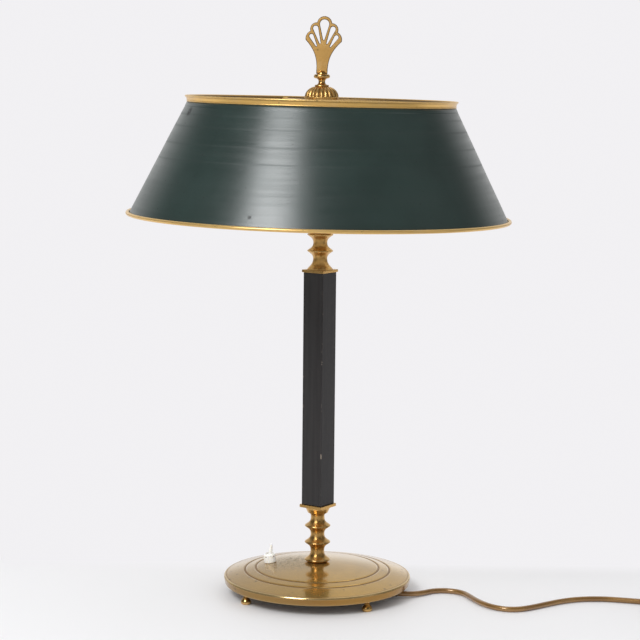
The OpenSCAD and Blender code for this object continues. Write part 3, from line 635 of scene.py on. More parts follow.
def plate_outline():
    """From the turned-in lip up the rim, over its broken edge and the dome, and back inside."""
    rim = eased([
        (BASE_R - RIM_INSET - 4, BASE_LOW + 1.4, 0.3), (BASE_R - RIM_INSET - 4, BASE_LOW, 0.5),
        (BASE_R - RIM_INSET, BASE_LOW, 1.1), (BASE_R, RIM_Z - 1.5, 0.5),
        (BASE_R - 0.15, RIM_Z - 0.55, 0.5), (BASE_R - 1.0, RIM_Z + 0.62, 0.5),
        (BASE_R - 2.4, dome_at(BASE_R - 2.4), 0),
    ], closed=False, steps=6)
    inner_r = np.linspace(BORE_R, BASE_R - SHEET - 1.5, 40)
    inner = np.stack([inner_r, dome_at(inner_r) - SHEET], -1)
    wall = [(BASE_R - SHEET, RIM_Z - SHEET), (BASE_R - RIM_INSET - SHEET, BASE_LOW + 1.4)]
    return np.concatenate([rim, plate_top(), inner, wall])


print("dome radius", round(DOME_R), "mm, rise", round(DOME_RISE, 1), "mm")

# %% Foot plate finish
STAIN_AT = (-24.0, 4.0, 32.0)


def plate_finish():
    """Brass under an aged clear lacquer: greyer and rougher in clouds, with brown spots in the
    middle left where drink was spilt, dark dirt in the rings and rubs along the rim.
    Painted shade: the rim band is dark brown, darkest at the left, and the left of the dome darker."""
    f = Finish("aged_brass", Metallic=0.78, Coat_Roughness=0.06, Coat_IOR=1.5)
    hollow = f.mark("hollow")
    r = f.radius()
    cloud = f.noise(38, 4)
    fine = f.noise(6, 4)
    rings = f.noise(0.9, 2, f.round_place(1.0, 0.02))
    colour = f.mix((0.52, 0.32, 0.082), (0.61, 0.375, 0.10), cloud.rises(0.35, 0.65))
    # Painted shade: the rim band is painted dark brown, darker towards the left.
    rim_painted_shade = f.mix((0.23, 0.115, 0.030), (0.36, 0.19, 0.042), f.x.rises(-50, 45))
    rim = f.z.rises(RIM_Z + 0.6, RIM_Z - 0.8)
    colour = f.mix(colour, rim_painted_shade, rim)
    # Painted shade: the left of the plate is painted a darker brown.
    left_painted_shade = f.x.rises(15, -60)
    colour = f.mix(colour, (0.37, 0.235, 0.082), fine.rises(0.55, 0.8) * 0.25 + left_painted_shade * 0.6)
    blotch = 0.4 + 0.6 * f.noise(3.4, 5, rough=0.65).rises(0.47, 0.60)
    stain = f.near(*STAIN_AT, 44.0) * blotch
    colour = f.mix(colour, (0.27, 0.215, 0.125), stain * 0.7)
    dirt = hollow.rises(0.0, 0.06)
    colour = f.mix(colour, (0.28, 0.15, 0.045), dirt * 0.9)
    specks = f.spots(7.0, 0.16) * r.rises(40, 90) + f.spots(3.1, 0.05)
    colour = f.mix(colour, (0.12, 0.08, 0.04), specks * 0.6)
    colour = f.mix(colour, (0.86, 0.66, 0.34), hollow.rises(-0.05, -0.3) * 0.5)
    f.set(Base_Color=colour, Coat_Weight=0.6 - 0.35 * stain - 0.3 * dirt - 0.15 * left_painted_shade - 0.4 * rim,
          Roughness=0.12 + 0.08 * cloud + 0.03 * fine + 0.25 * stain + 0.3 * dirt + 0.15 * specks,
          Normal=f.relief(rings * 0.002 + fine * 0.004 - stain * 0.01))
    return f.material


aged_brass = plate_finish()
base = turned("foot_plate", plate_outline(), around=192, reach=1.0)
belongs(base, aged_brass, "stand", "aged_brass", "base_shell")

# %% [markdown]
# ## Feet
# Four small turned feet lift the plate, each a ball with a neck and a collar. All four are the
# same turning, so one function makes them where the CAD nodes stand.

# %% Feet
STUD_H = 6.0                                # of the stud that holds a foot in the iron weight
FEET = ("foot_front_left", "foot_front_right", "foot_back_left", "foot_back_right")


def foot_outline(ball_r, top):
    """From the table up: a foot that is widest low down, a neck, and a collar under the plate.
    All widths are shares of the ball's radius."""
    side = flowing([(0.60, 0.0), (0.86, 0.5), (1.0, 2.2), (0.95, 3.7), (0.76, 5.4), (0.56, 6.9),
                    (0.49, 8.2), (0.56, 9.3), (0.80, 9.9)] * np.array([ball_r, 1.0]), 0.35)
    collar = eased([(4.4, 9.9, 0), (4.8, 10.0, 0.15), (4.8, top, 0.2), (0, top, 0)], closed=False)
    return np.concatenate([[(0, 0)], side, collar[1:]])


for node in FEET:
    middle = (low(node) + high(node)) / 2
    ball_r = (high(node)[0] - low(node)[0]) / 2
    foot = turned(node.replace("foot", "turned_foot"), foot_outline(ball_r, high(node)[2] - STUD_H),
                  around=48, centre=middle[:2], reach=1.2)
    belongs(foot, foot_brass, "stand", "polished_brass", node)

# %% [markdown]
# ## Spools
# The spools were turned from bar with three ridges each. A ridge falls off to the neck on both
# sides in a hollow curve, which a bell function gives with two numbers, and the outline of the
# whole spool is the largest of its bells. Points every quarter of a millimetre keep the ridges
# crisp.

# %% Spools
NECK_R = 7.2
RIDGE_R = 13.6
SPOOL_BORE = 5.1


def bells(z, ridges):
    """Radius at the heights z: the neck plus the largest bell, each exp(-(distance/spread)^1.6)."""
    shape = [np.exp(-np.abs((z - at) / spread) ** 1.6) for at, spread in ridges]
    return NECK_R + (RIDGE_R - NECK_R) * np.max(shape, axis=0)


def spool_side(start, end, ridges):
    """The bells between two heights, as points of radius and height."""
    z = np.linspace(start, end, int((end - start) / 0.25) + 1)
    return np.stack([bells(z, ridges), z], -1)


lower_low = low("lower_spool")[2]
lower_high = high("lower_spool")[2]
lower_ridges = [(lower_low + up, 3.3) for up in (2.9, 21.7, 39.3)]
cup_z = lower_high - 10.0
lower_outline = np.concatenate([
    [(SPOOL_BORE, lower_low), (SPOOL_BORE + 0.5, lower_low)],
    spool_side(lower_low, cup_z, lower_ridges),
    arc(NECK_R + 4.6, cup_z, 4.6, 178, 132, 10),
    eased([(10.6, cup_z + 4.0, 0.15), (10.9, cup_z + 4.7, 0.2), (11.7, cup_z + 6.4, 0.3),
           (12.5, cup_z + 8.2, 0.4), (12.7, lower_high, 0.2), (SPOOL_BORE, lower_high, 0)],
          closed=False),
])
lower = turned("lower_turning", lower_outline, around=128)
belongs(lower, spool_brass, "stand", "polished_brass", "lower_spool")

upper_low = low("upper_spool")[2]
upper_high = high("upper_spool")[2]
upper_ridges = [(upper_low, 4.9), (upper_low + 19.5, 3.3), (upper_low + 36.4, 3.3)]
upper_outline = np.concatenate([
    [(SPOOL_BORE, upper_low), (SPOOL_BORE + 0.5, upper_low), (13.0, upper_low)],
    spool_side(upper_low + 0.3, upper_high, upper_ridges),
    [(SPOOL_BORE, upper_high)],
])
upper = turned("upper_turning", upper_outline, around=128)
belongs(upper, spool_brass, "stand", "polished_brass", "upper_spool")

# %% [markdown]
# ## Square parts
# The column and the two plates are square bars turned a little out of line, so two faces show.
# A cube with a Bevel modifier would do, but carrying a rounded square up an outline keeps the
# same grid for all three and lets their ends be eased too.

# %% Square bars
SQUARE_TURN = -35.0


def square_ring(half, ease):
    """Rounded square, one corner after the other. Each corner is a quarter circle between two
    points that keep the sides flat."""
    ring = []
    for quarter in range(4):
        a = np.radians(np.linspace(0, 90, 7) + 90 * quarter)
        centre = (half - ease) * np.sqrt(2) * np.array([cos(pi / 4 + quarter * pi / 2),
                                                        sin(pi / 4 + quarter * pi / 2)])
        curve = centre + ease * np.stack([np.cos(a), np.sin(a)], -1)
        along = np.array([sin(a[0]), -cos(a[0])]), np.array([-sin(a[-1]), cos(a[-1])])
        ring += [[curve[0] + 0.4 * along[0]], curve, [curve[-1] + 0.4 * along[1]]]
    return np.concatenate(ring)


def square_bar(name, half, ease, bottom, top):
    """Scales the rounded square by an outline of width and height, and turns it."""
    outline = eased([(0, bottom, 0), (half, bottom, ease), (half, top, ease), (0, top, 0)],
                    closed=False)
    ring = square_ring(half, ease)
    share = (outline[:, 0] / half)[:, None]
    turn = radians(SQUARE_TURN)
    x = cos(turn) * ring[:, 0] - sin(turn) * ring[:, 1]
    y = sin(turn) * ring[:, 0] + cos(turn) * ring[:, 1]
    grid = np.stack([share * x, share * y, outline[:, 1:] + 0 * x], -1)
    return grid_piece(name, grid, marks={"hollow": np.zeros(len(outline))})


COLUMN_W = 24.6
PLATE_W = {"lower_plate": 27.8, "upper_plate": 27.2}


def lacquer_finish():
    """Black lacquer on the column: satin, with a fine orange peel, faint vertical rubbing, and a
    few chips along its upright edges that show the pale ground under it."""
    f = Finish("black_lacquer", IOR=1.5, Specular_IOR_Level=0.32)
    turned_place = f.node("Mapping", {}, {"Vector": f.place,
                                          "Rotation": (0, 0, radians(-SQUARE_TURN))})
    sides = f.node("SeparateXYZ", {}, {0: turned_place})
    across = sides.other(1)
    corner = (COLUMN_W / 2) ** 2
    edge = (abs(sides) * abs(across)).rises(corner * 0.88, corner * 0.975)
    streak = f.noise(3.0, 3, f.stretched(1.0, 1.0, 0.03))
    peel = f.noise(1.1, 2)
    chips = edge * f.noise(5.2, 4, rough=0.6).rises(0.60, 0.66)
    colour = f.mix((0.025, 0.023, 0.0235), (0.032, 0.030, 0.0305), streak.rises(0.35, 0.65))
    colour = f.mix(colour, (0.30, 0.25, 0.20), chips * 0.8)
    f.set(Base_Color=colour,
          Roughness=0.36 + 0.12 * streak - 0.05 * edge + 0.2 * chips,
          Normal=f.relief(peel * 0.012 + streak * 0.01 - chips * 0.06))
    return f.material


black_lacquer = lacquer_finish()
column = square_bar("square_column", COLUMN_W / 2, 0.55, low("column")[2], high("column")[2])
belongs(column, black_lacquer, "stand", "black_lacquer", "column")
for node, width in PLATE_W.items():
    plate = square_bar(node + "_brass", width / 2, 0.45, low(node)[2], high(node)[2])
    belongs(plate, polished_brass, "stand", "polished_brass", node)

# %% [markdown]
# ## Shade
# The shade is a cone of thin sheet, painted dark green outside and pale inside, with a brass band
# around its top and a brass bead around its lower edge. A cone could be a cylinder primitive with
# one end scaled, but the sheet is not quite straight: it swells a little where its top strip is
# beaten over the band's flange. That is one more term in the outline. The shade hangs a degree
# out of level, as these shades do once their arms have been bent: its pieces lean about the hub.

# %% Shade sheet
CONE_LOW_R = high("shade_skin")[0]
CONE_LOW_Z = low("shade_skin")[2]
BAND_UP = 1.3                               # how much higher the sheet and the band's skirt end
CONE_HIGH_Z = high("shade_skin")[2] + BAND_UP
CONE_HIGH_R = 138.0
CONE_SHEET = 1.1
SHADE_LEAN = radians(0.94)
HUB_LOW = low("shade_spider")[2] + 0.7      # the bent ends of the arms reach lower than the hub
STRIP_Z = CONE_HIGH_Z - 4.4
STRIP_SWELL = 0.22


def cone_r(z):
    """Radius of the outside: a straight line with a small step at the top strip."""
    line = CONE_LOW_R + (CONE_HIGH_R - CONE_LOW_R) * (z - CONE_LOW_Z) / (CONE_HIGH_Z - CONE_LOW_Z)
    return line + STRIP_SWELL * smooth(z, STRIP_Z - 0.5, STRIP_Z + 0.5)


def sheet_wobble(r, z, angle):
    """Slow unevenness of a sheet bent by hand: a sum of three waves around the cone."""
    fade = np.clip((CONE_HIGH_Z - z) / 40, 0, 1) * np.clip((z - CONE_LOW_Z) / 20, 0, 1)
    return fade * (0.10 * np.sin(3 * angle + z / 31) + 0.06 * np.sin(7 * angle - z / 17)
                   + 0.04 * np.sin(11 * angle + z / 9))


LEAN_Z = HUB_LOW + 3                        # of the point that the shade leans about
lean_shade = shift(0, 0, LEAN_Z) @ spin(SHADE_LEAN, "Y") @ shift(0, 0, -LEAN_Z)
out_z = np.unique(np.concatenate([np.linspace(CONE_LOW_Z, CONE_HIGH_Z, 58),
                                  np.linspace(STRIP_Z - 1.2, STRIP_Z + 1.2, 13)]))
outside = np.stack([cone_r(out_z), out_z], -1)
inside = outside[::-1] - np.array([CONE_SHEET, 0])
cone_outline = np.concatenate([outside, inside])
is_inside = np.concatenate([np.zeros(len(outside)), np.ones(len(inside))])
print("cone", round(2 * CONE_LOW_R), "mm wide below,", round(2 * CONE_HIGH_R), "mm above")

# %% Shade paint
TOOL_MARKS = (502.3, 490.6, 473.8, 458.0)   # heights of the rings that the spinning tool left
CHIP_HIGH = (-132.3, -54.2, 507, 7.5)       # place of a chip, and how far it reaches
CHIP_LOW = (-67, -179.2, 410.5, 2.8)


def paint_finish():
    """Dark green enamel with a soft shine, brushed around the cone, with the rings of the spinning
    tool under it and a few chips; the inside is warm white."""
    f = Finish("green_paint", IOR=1.6, Specular_IOR_Level=0.7)
    level = f.z + f.x * tan(SHADE_LEAN)
    tool = sum(abs(level - height).rises(1.5, 0.2) for height in TOOL_MARKS)
    within = f.mark("inside")
    white = within.rises(0.4, 0.6)
    cloud = f.noise(45, 3)
    brush = f.noise(2.2, 3, f.round_place(1.0, 0.012))
    run = f.noise(7.0, 3, f.stretched(1.0, 1.0, 0.12))
    dust = f.noise(1.4, 3).rises(0.66, 0.76)
    spun = f.noise(6.0, 4, f.stretched(0.03, 0.03, 1.0))
    green = f.mix((0.0155, 0.031, 0.027), (0.018, 0.036, 0.0315), cloud.rises(0.35, 0.65))
    green = f.mix(green, (0.045, 0.065, 0.055), dust * 0.12)
    scuffs = f.near(*CHIP_HIGH) * f.noise(1.5, 4).rises(0.38, 0.46)
    scuffs = scuffs + f.near(*CHIP_LOW) + f.spots(3.4, 0.035) * 0.7
    green = f.mix(green, (0.006, 0.008, 0.008), scuffs * (1 - within) * 0.9)
    f.set(Base_Color=f.mix(green, (0.80, 0.76, 0.66), white),
          Roughness=(0.22 + 0.03 * cloud + 0.04 * run + 0.13 * spun + 0.06 * tool + 0.2 * scuffs
                     + 0.25 * white),
          Normal=f.relief(brush * 0.014 + spun * 0.11 + tool * 0.009 + run * 0.012
                          + f.noise(1.2, 2) * 0.003))
    return f.material


green_paint = paint_finish()
shade = turned("shade_sheet", cone_outline, around=288, wobble=sheet_wobble,
               marks={"inside": is_inside})
shade.data.transform(lean_shade)
belongs(shade, green_paint, "shade", "green_paint", "shade_skin")

# %% Top band and lower bead
BAND_LOW_Z = low("shade_top_band")[2] + BAND_UP
BAND_TOP_Z = high("shade_top_band")[2]
BAND_R = high("shade_top_band")[0]
BAND_BORE = BAND_R - 3.9
band_outline = np.concatenate([
    [(BAND_BORE, BAND_LOW_Z)],
    arc(BAND_BORE + 1.75, BAND_LOW_Z + 0.45, 0.45, -90, 70, 6),
    flowing([(BAND_BORE + 1.75, BAND_LOW_Z + 1.1), (BAND_BORE + 1.9, BAND_LOW_Z + 2.2),
             (BAND_BORE + 2.15, BAND_LOW_Z + 3.3), (BAND_BORE + 2.6, BAND_LOW_Z + 4.4)], 0.3),
    arc(BAND_BORE + 3.0, BAND_TOP_Z - 0.9, 0.9, -50, 165, 12),
    flowing([(BAND_BORE + 1.7, BAND_TOP_Z - 1.0), (BAND_BORE + 0.9, BAND_TOP_Z - 1.35),
             (BAND_BORE + 0.3, BAND_TOP_Z - 1.45), (BAND_BORE, BAND_TOP_Z - 1.8)], 0.3),
])
# Painted shade: the band's inner face is marked, and the brass finish paints it dark brown.
band_inner_shade = (band_outline[:, 0] < BAND_BORE + 1.75) & (band_outline[:, 1] > BAND_LOW_Z)
band = turned("top_band", band_outline, around=256, reach=1.0, marks={"stain_and_shade": band_inner_shade})
band.data.transform(lean_shade)
belongs(band, edge_brass, "shade", "polished_brass", "shade_top_band")

BEAD_WIRE_R = (high("shade_bottom_bead")[2] - low("shade_bottom_bead")[2]) / 2
BEAD_Z = low("shade_bottom_bead")[2] + BEAD_WIRE_R
BEAD_R = high("shade_bottom_bead")[0] - BEAD_WIRE_R
bead = turned("lower_bead", arc(BEAD_R, BEAD_Z, BEAD_WIRE_R, -90, 255, 23), around=320)
bead.data.transform(lean_shade)
belongs(bead, edge_brass, "shade", "polished_brass", "shade_bottom_bead")

# %% [markdown]
# ## Spider
# Three flat arms run from a turned hub to the inside of the band, where a bent end of each is
# riveted. The hub sits level on its shoulder and the arms share the lean of the shade. An arm is
# one grid as well: an oblong section that changes its size where the end is bent. Array copies
# would be as good, but three calls are shorter.

# %% Spider
ARM_BEARINGS = (107, 227, 347)
ARM_W = 8.0
ARM_LOW = HUB_LOW + 2.5
ARM_T = 2.0
TAB_R = BAND_BORE - 1.6
TAB_W = 5.0
TAB_LOW = HUB_LOW - 0.7
TAB_HIGH = HUB_LOW + 5.7
RIVET_Z = HUB_LOW + 0.9
hub = turned("spider_hub", eased([
    (5.05, HUB_LOW, 0.2), (10, HUB_LOW, 0.4), (10, HUB_LOW + 5, 0), (17, HUB_LOW + 5, 0.3),
    (17, HUB_LOW + 7, 0.3), (5.05, HUB_LOW + 7, 0.2)]), around=72)
belongs(hub, polished_brass, "shade", "aged_brass", "shade_spider")


def oblong(x, half_w, bottom, top, ease=0.35):
    """Upright oblong with broken corners, square to the x axis."""
    w, b, t = half_w, bottom, top
    y = np.array([-w + ease, w - ease, w, w, w - ease, -w + ease, -w, -w])
    z = np.array([b, b, b + ease, t - ease, t, t, t - ease, b + ease])
    return np.stack([x + 0 * y, y, z], -1)


def arm_grid():
    """From inside the hub to the tab, and the tab's two faces."""
    reach = np.linspace(8.5, TAB_R - 0.4, 12)
    rows = [oblong(x, ARM_W / 2, ARM_LOW, ARM_LOW + ARM_T) for x in reach]
    rows += [oblong(x, TAB_W / 2, TAB_LOW, TAB_HIGH) for x in (TAB_R, TAB_R + 0.5, TAB_R + 1.5)]
    return closed_ends(np.stack(rows))


rivet_outline = np.concatenate([[(0, -2.2), (1.0, -2.2), (1.0, 0), (1.35, 0)],
                                flowing([(1.4, 0.1), (1.2, 0.5), (0.7, 0.75), (0, 0.8)], 0.15)])
at_tab = shift(TAB_R, 0, RIVET_Z) @ spin(-pi / 2, "Y")
for number, bearing in enumerate(ARM_BEARINGS, 1):
    place = lean_shade @ spin(radians(bearing), "Z")
    arm = grid_piece("spider_arm_" + str(number), arm_grid())
    arm.data.transform(place)
    belongs(arm, edge_brass, "shade", "aged_brass")
    rivet = turned("rivet_" + str(number), rivet_outline, around=24)
    rivet.data.transform(place @ at_tab)
    stands_for = ["spider_rivets"] if number == 1 else []
    belongs(rivet, polished_brass, "shade", "polished_brass", *stands_for)

# %% [markdown]
# ## Finial
# The finial has three parts: a fluted cap that covers the nut, a turned stem, and an openwork
# fan. The cap's radius changes with the bearing as well as with the height, which is a grid with
# two formulas multiplied. It is the one place where the outline is not enough.

# %% Fluted cap
CAP_R = high("dome_cap")[0]
CAP_LOW_Z = low("dome_cap")[2]
CAP_TOP_Z = high("dome_cap")[2]
CAP_CROWN_R = 7.3
FLUTES = 22
FLUTE_DEPTH = 1.6


def cap_grid():
    """Rows go from under the brim over the dome to the crown. On the dome the radius is a quarter
    ellipse less a cut that is deepest at the valleys, where |sin| of half the flute angle is 0."""
    a = np.linspace(0, 2 * pi, FLUTES * 12, endpoint=False)
    t = np.linspace(0, pi / 2, 26)
    base_r, base_z = CAP_R - 0.4, CAP_LOW_Z + 1.0
    dome_r = CAP_CROWN_R + (base_r - CAP_CROWN_R) * np.cos(t) ** 1.2
    dome_z = base_z + (CAP_TOP_Z - base_z) * np.sin(t)
    cut = FLUTE_DEPTH * (0.4 + 0.6 * np.cos(t)) * np.clip(t / 0.08, 0, 1)
    brim = eased([(0, CAP_LOW_Z, 0), (CAP_R, CAP_LOW_Z, 0.25), (CAP_R, base_z, 0.25),
                  (base_r, base_z, 0)], closed=False)
    r = np.concatenate([brim[:, 0], dome_r, [3.2, 0]])
    z = np.concatenate([brim[:, 1], dome_z, [CAP_TOP_Z, CAP_TOP_Z]])
    depth = np.concatenate([0 * brim[:, 0], cut, [0, 0]])
    valley = (1 - np.abs(np.sin(FLUTES * a / 2))) ** 0.9
    radius = r[:, None] - depth[:, None] * valley
    grid = np.stack([radius * np.cos(a), radius * np.sin(a), z[:, None] + 0 * a], -1)
    hollow = (depth[:, None] > 0.05) * (valley ** 1.3 * 0.6 - 0.12)
    return grid, hollow


cap_points, cap_hollow = cap_grid()
cap = grid_piece("fluted_cap", cap_points, marks={"hollow": cap_hollow})
belongs(cap, cap_brass, "finial", "polished_brass", "dome_cap")

# %% Finial stem
KNUCKLE_R = 4.8
KNUCKLE_Z = CAP_TOP_Z + 12
stem_outline = np.concatenate([
    [(0, CAP_TOP_Z - 0.3), (CAP_CROWN_R - 0.3, CAP_TOP_Z)],
    arc(CAP_CROWN_R - 0.9, CAP_TOP_Z + 1, 1, -60, 80, 10),
    arc(7, CAP_TOP_Z + 5.2, 3.6, 255, 115, 22),
    arc(6.3, CAP_TOP_Z + 10.6, 2.1, -78, 78, 18),
    arc(0, KNUCKLE_Z, KNUCKLE_R, 8, 90, 16),
])
stem = turned("finial_turning", stem_outline, around=72, reach=1.0)
belongs(stem, polished_brass, "finial", "polished_brass", "finial_stem")

# %% [markdown]
# The fan, called a palmette, was sawn and filed from thick brass: five loops that spread from one
# root. Its outline is worked out by looking outwards from a point inside it: in each direction
# the edge is the farthest of the leaf circles and of the root's flank. Five tapered slots are cut
# through. As a flat Bezier curve with holes, Blender fills it, gives it thickness and rounds its
# edges in one step, which a boolean would do less cleanly.

# %% Palmette outline
PALMETTE_FOOT_Z = CAP_TOP_Z + 16.4
PALMETTE_ROOT = 3.5
PALMETTE_T = high("finial_palmette")[1] - low("finial_palmette")[1]
ROOT_W = 5.75
TIPS = 30.1                                 # height of the lowest leaf tips above the foot
LEAVES = [(0, 47.6, 7.7)]                   # middle and radius of a leaf
SLOTS = [((0, 47.3), 4.7, (0, 31.8), 0.7)]  # middle and radius of both ends of a slot
for side in (-1, 1):
    LEAVES += [(side * 7.6, 41.8, 6.85), (side * 10.3, 32.1, 8.4)]
    SLOTS += [((side * 8.9, 42.6), 2.6, (side * 3.6, 27.9), 0.6),
              ((side * 12.8, 34.5), 2.1, (side * 7.2, 24.8), 0.5)]
EDGE_ROUND = 0.8
PALMETTE_LEAN = 2.8                         # to the right, as it was once bent


def flank_w(v):
    """Half width of the root at height v: it spreads with the power 2.45 of the height."""
    return ROOT_W + 12.6 * np.power(np.clip(v, 0, None) / TIPS, 2.45)


def palmette_edge(count=420):
    """Farthest edge in each direction from a point on the middle line, level with the lowest tips:
    the flank below it and the leaf circles above it."""
    eye = np.array([0, TIPS])
    v = np.linspace(-PALMETTE_ROOT, TIPS - 0.3, 90)
    flank = np.stack([flank_w(v), v], -1)
    a = np.linspace(0, pi / 2, count // 2)
    reach = 0 * a
    for x, y, r in LEAVES:
        gap = np.array([x, y]) - eye
        along = gap[0] * np.cos(a) + gap[1] * np.sin(a)
        inside = along ** 2 - gap @ gap + r ** 2
        far = along + np.sqrt(np.clip(inside, 0, None))
        reach = np.maximum(reach, np.where(inside > 0, far, 0))
    crown = eye + reach[:, None] * np.stack([np.cos(a), np.sin(a)], -1)
    right = np.concatenate([flank, crown])
    return np.concatenate([right, right[-2::-1] * (-1, 1)])


def taper_slot(a, ra, b, rb):
    """Two arcs joined by their common tangents, drawn clockwise so that they cut a hole."""
    a, b = np.array(a, float), np.array(b, float)
    d = b - a
    along = degrees(np.arctan2(d[1], d[0]))
    spread = degrees(np.arccos((ra - rb) / np.linalg.norm(d)))
    big = arc(*a, ra, along + spread, along + 360 - spread, 26)
    small = arc(*b, rb, along - spread, along + spread, 8)
    return np.concatenate([big, small])[::-1]


palmette_loops = [palmette_edge()] + [taper_slot(*slot) for slot in SLOTS]
print("palmette with", len(SLOTS), "slots and", len(palmette_loops[0]), "points around it")

# %% Palmette mesh


def flat_curve(name, loops, half, round_off):
    """Fills closed loops as one flat curve, gives it thickness and round edges, and makes it a
    mesh that stands upright. Its rounded edges are marked for painted shade, dark brown."""
    curve = bpy.data.curves.new(name, "CURVE")
    curve.dimensions = "2D"
    curve.fill_mode = "BOTH"
    curve.extrude = (half - round_off) * MM
    curve.bevel_depth = round_off * MM
    curve.bevel_resolution = 3
    curve.offset = -round_off * MM
    for loop in loops:
        spline = curve.splines.new("POLY")
        spline.points.add(len(loop) - 1)
        points = np.concatenate([loop * MM, np.zeros((len(loop), 1)), np.ones((len(loop), 1))], 1)
        spline.points.foreach_set("co", points.astype(np.float32).ravel())
        spline.use_cyclic_u = True
    drawn = put(name + "_curve", curve)
    bpy.context.view_layer.update()
    mesh = bpy.data.meshes.new_from_object(drawn)
    bpy.data.objects.remove(drawn)
    mesh.transform(spin(pi / 2, "X"))
    merge(mesh)
    places = np.empty(3 * len(mesh.vertices), np.float32)
    mesh.vertices.foreach_get("co", places)
    # Painted shade: the rounded edges are marked, and the brass finish paints them dark brown.
    rounded = np.clip((half - np.abs(places[1::3]) / MM) / (0.08 * round_off), 0, 1)
    stain_and_shade = mesh.attributes.new("stain_and_shade", "FLOAT", "POINT")
    stain_and_shade.data.foreach_set("value", rounded.astype(np.float32))
    mesh.shade_smooth()
    return mesh


palmette_mesh = flat_curve("palmette", palmette_loops, PALMETTE_T / 2, EDGE_ROUND)
palmette_mesh.transform(shift(0, 0, PALMETTE_FOOT_Z) @ spin(radians(PALMETTE_LEAN), "Y"))
palmette = put("palmette", palmette_mesh)
belongs(palmette, satin_brass, "finial", "polished_brass", "finial_palmette")

# %% [markdown]
# ## Switch
# A toggle switch sits in the plate: a ring nut of ivory plastic with small holes for a spanner,
# and a thin tapered lever. The plate slopes there, so both are turned about a leaning axis. They
# are made upright as any turned piece, and the leaning frame is applied to their points.

# %% Switch
SWITCH_BEARING = radians(170.4)
SWITCH_REACH = 50.7
SWITCH_LEAN = asin(SWITCH_REACH / DOME_R)
PIVOT_Z = 3.0
THROW = radians(26)
COLLAR_R = 6.4
HOLE_R = 0.75
HOLE_DEPTH = 0.9
HOLE_Z = 6.5
HOLE_BEARING = radians(62)
COLLAR_SIDES = 144
COLLAR_ROWS = 26

at_switch = (spin(SWITCH_BEARING, "Z") @ shift(SWITCH_REACH, 0, float(dome_at(SWITCH_REACH)))
             @ spin(SWITCH_LEAN, "Y"))


def spanner_wobble(r, z, angle):
    """Pushes the wall in where a spanner hole is: four holes around, level with each other."""
    way = (angle - HOLE_BEARING + pi / 4) % (pi / 2) - pi / 4
    gap = np.hypot(way * COLLAR_R, z - HOLE_Z)
    return -HOLE_DEPTH * smooth(gap, HOLE_R + 0.25, HOLE_R - 0.25) * (r > COLLAR_R - 0.4)


def ivory_finish():
    """Ivory plastic, glossy but yellowed, with small dirty patches. Its spanner holes hold
    painted shade: they are painted near black.
    """
    f = Finish("white_plastic", IOR=1.5, Subsurface_Weight=0.08, Subsurface_Radius=(0.6, 0.5, 0.3),
               Subsurface_Scale=MM)
    cloud = f.noise(5, 3)
    colour = f.mix((0.99, 0.98, 0.945), (0.95, 0.93, 0.875), cloud.rises(0.45, 0.7))
    # Painted shade: the spanner holes are painted near black.
    colour = f.mix(colour, (0.12, 0.10, 0.08), f.mark("hole").rises(0.3, 0.9))
    colour = f.mix(colour, (0.42, 0.36, 0.27), f.noise(1.3, 3).rises(0.64, 0.74) * 0.5)
    f.set(Base_Color=colour, Roughness=0.30 + 0.12 * cloud,
          Normal=f.relief(f.noise(0.9, 2) * 0.01))
    return f.material


# %% Ring nut and lever
white_plastic = ivory_finish()
collar_outline = np.concatenate([
    [(4.95, 0.0), (COLLAR_R - 0.4, 0.0), (COLLAR_R - 0.1, 0.25)],
    np.stack([np.full(COLLAR_ROWS, COLLAR_R), np.linspace(0.7, 7.4, COLLAR_ROWS)], -1),
    eased([(COLLAR_R, 7.6, 0), (6.15, 8.4, 0.4), (5.0, 8.8, 0.4), (4.35, 8.95, 0.15),
           (4.2, 10.0, 0.2), (3.75, 10.15, 0.15), (3.66, 7.5, 0.1), (4.85, 7.4, 0.1)],
          closed=False),
])
collar_angles = np.linspace(0, 2 * pi, COLLAR_SIDES, endpoint=False)
pushed_in = spanner_wobble(collar_outline[:, :1], collar_outline[:, 1:], collar_angles)
collar = turned("ring_nut", collar_outline, around=COLLAR_SIDES, wobble=spanner_wobble,
                marks={"hole": -pushed_in / HOLE_DEPTH})
collar.data.transform(at_switch)
belongs(collar, white_plastic, "stand", "white_plastic", "switch_collar")

lever_outline = np.concatenate([
    arc(0, 0, 2.4, -90, 48, 12),
    [(1.75, 2.1), (1.8, 5.0), (1.75, 9.0), (1.55, 13.0)],
    arc(0, 15.6, 1.4, 0, 90, 8),
])
lever = turned("toggle_lever", lever_outline, around=40)
lever.data.transform(at_switch @ shift(0, 0, PIVOT_Z) @ spin(-THROW / 2, "Y"))
belongs(lever, white_plastic, "switch_lever", "white_plastic", "switch_lever")

# %% [markdown]
# ## Plug, strain relief and tie
# The far end of the cord has a moulded plug with two round pins, and the near end a rubber sleeve
# with ribs so that the cord can't kink. A strip holds the coil. The plug's body is a rounded
# oblong whose width and thickness change along it, again one grid.

# %% Plastic and steel


def plastic_finish(name, colour, rough):
    """Moulded plastic or rubber with a fine grain and a slight change of tone."""
    f = Finish(name, IOR=1.48)
    cloud = f.noise(9, 3)
    pale = tuple(1.5 * c + 0.01 for c in colour)
    f.set(Base_Color=f.mix(colour, pale, cloud.rises(0.4, 0.75) * 0.6),
          Roughness=rough + 0.12 * cloud, Normal=f.relief(f.noise(0.35, 2) * 0.012))
    return f.material


def steel_finish(name, colour, rough):
    """Plated or raw metal with faint scratches and stains."""
    f = Finish(name, Metallic=1.0)
    cloud = f.noise(8, 3)
    scratch = f.noise(0.6, 2, f.stretched(1.0, 0.15, 1.0))
    stain_and_shade = tuple(0.6 * c for c in colour)
    f.set(Base_Color=f.mix(colour, stain_and_shade, cloud.rises(0.45, 0.75)),
          Roughness=rough + 0.15 * cloud + 0.05 * scratch, Normal=f.relief(scratch * 0.005))
    return f.material


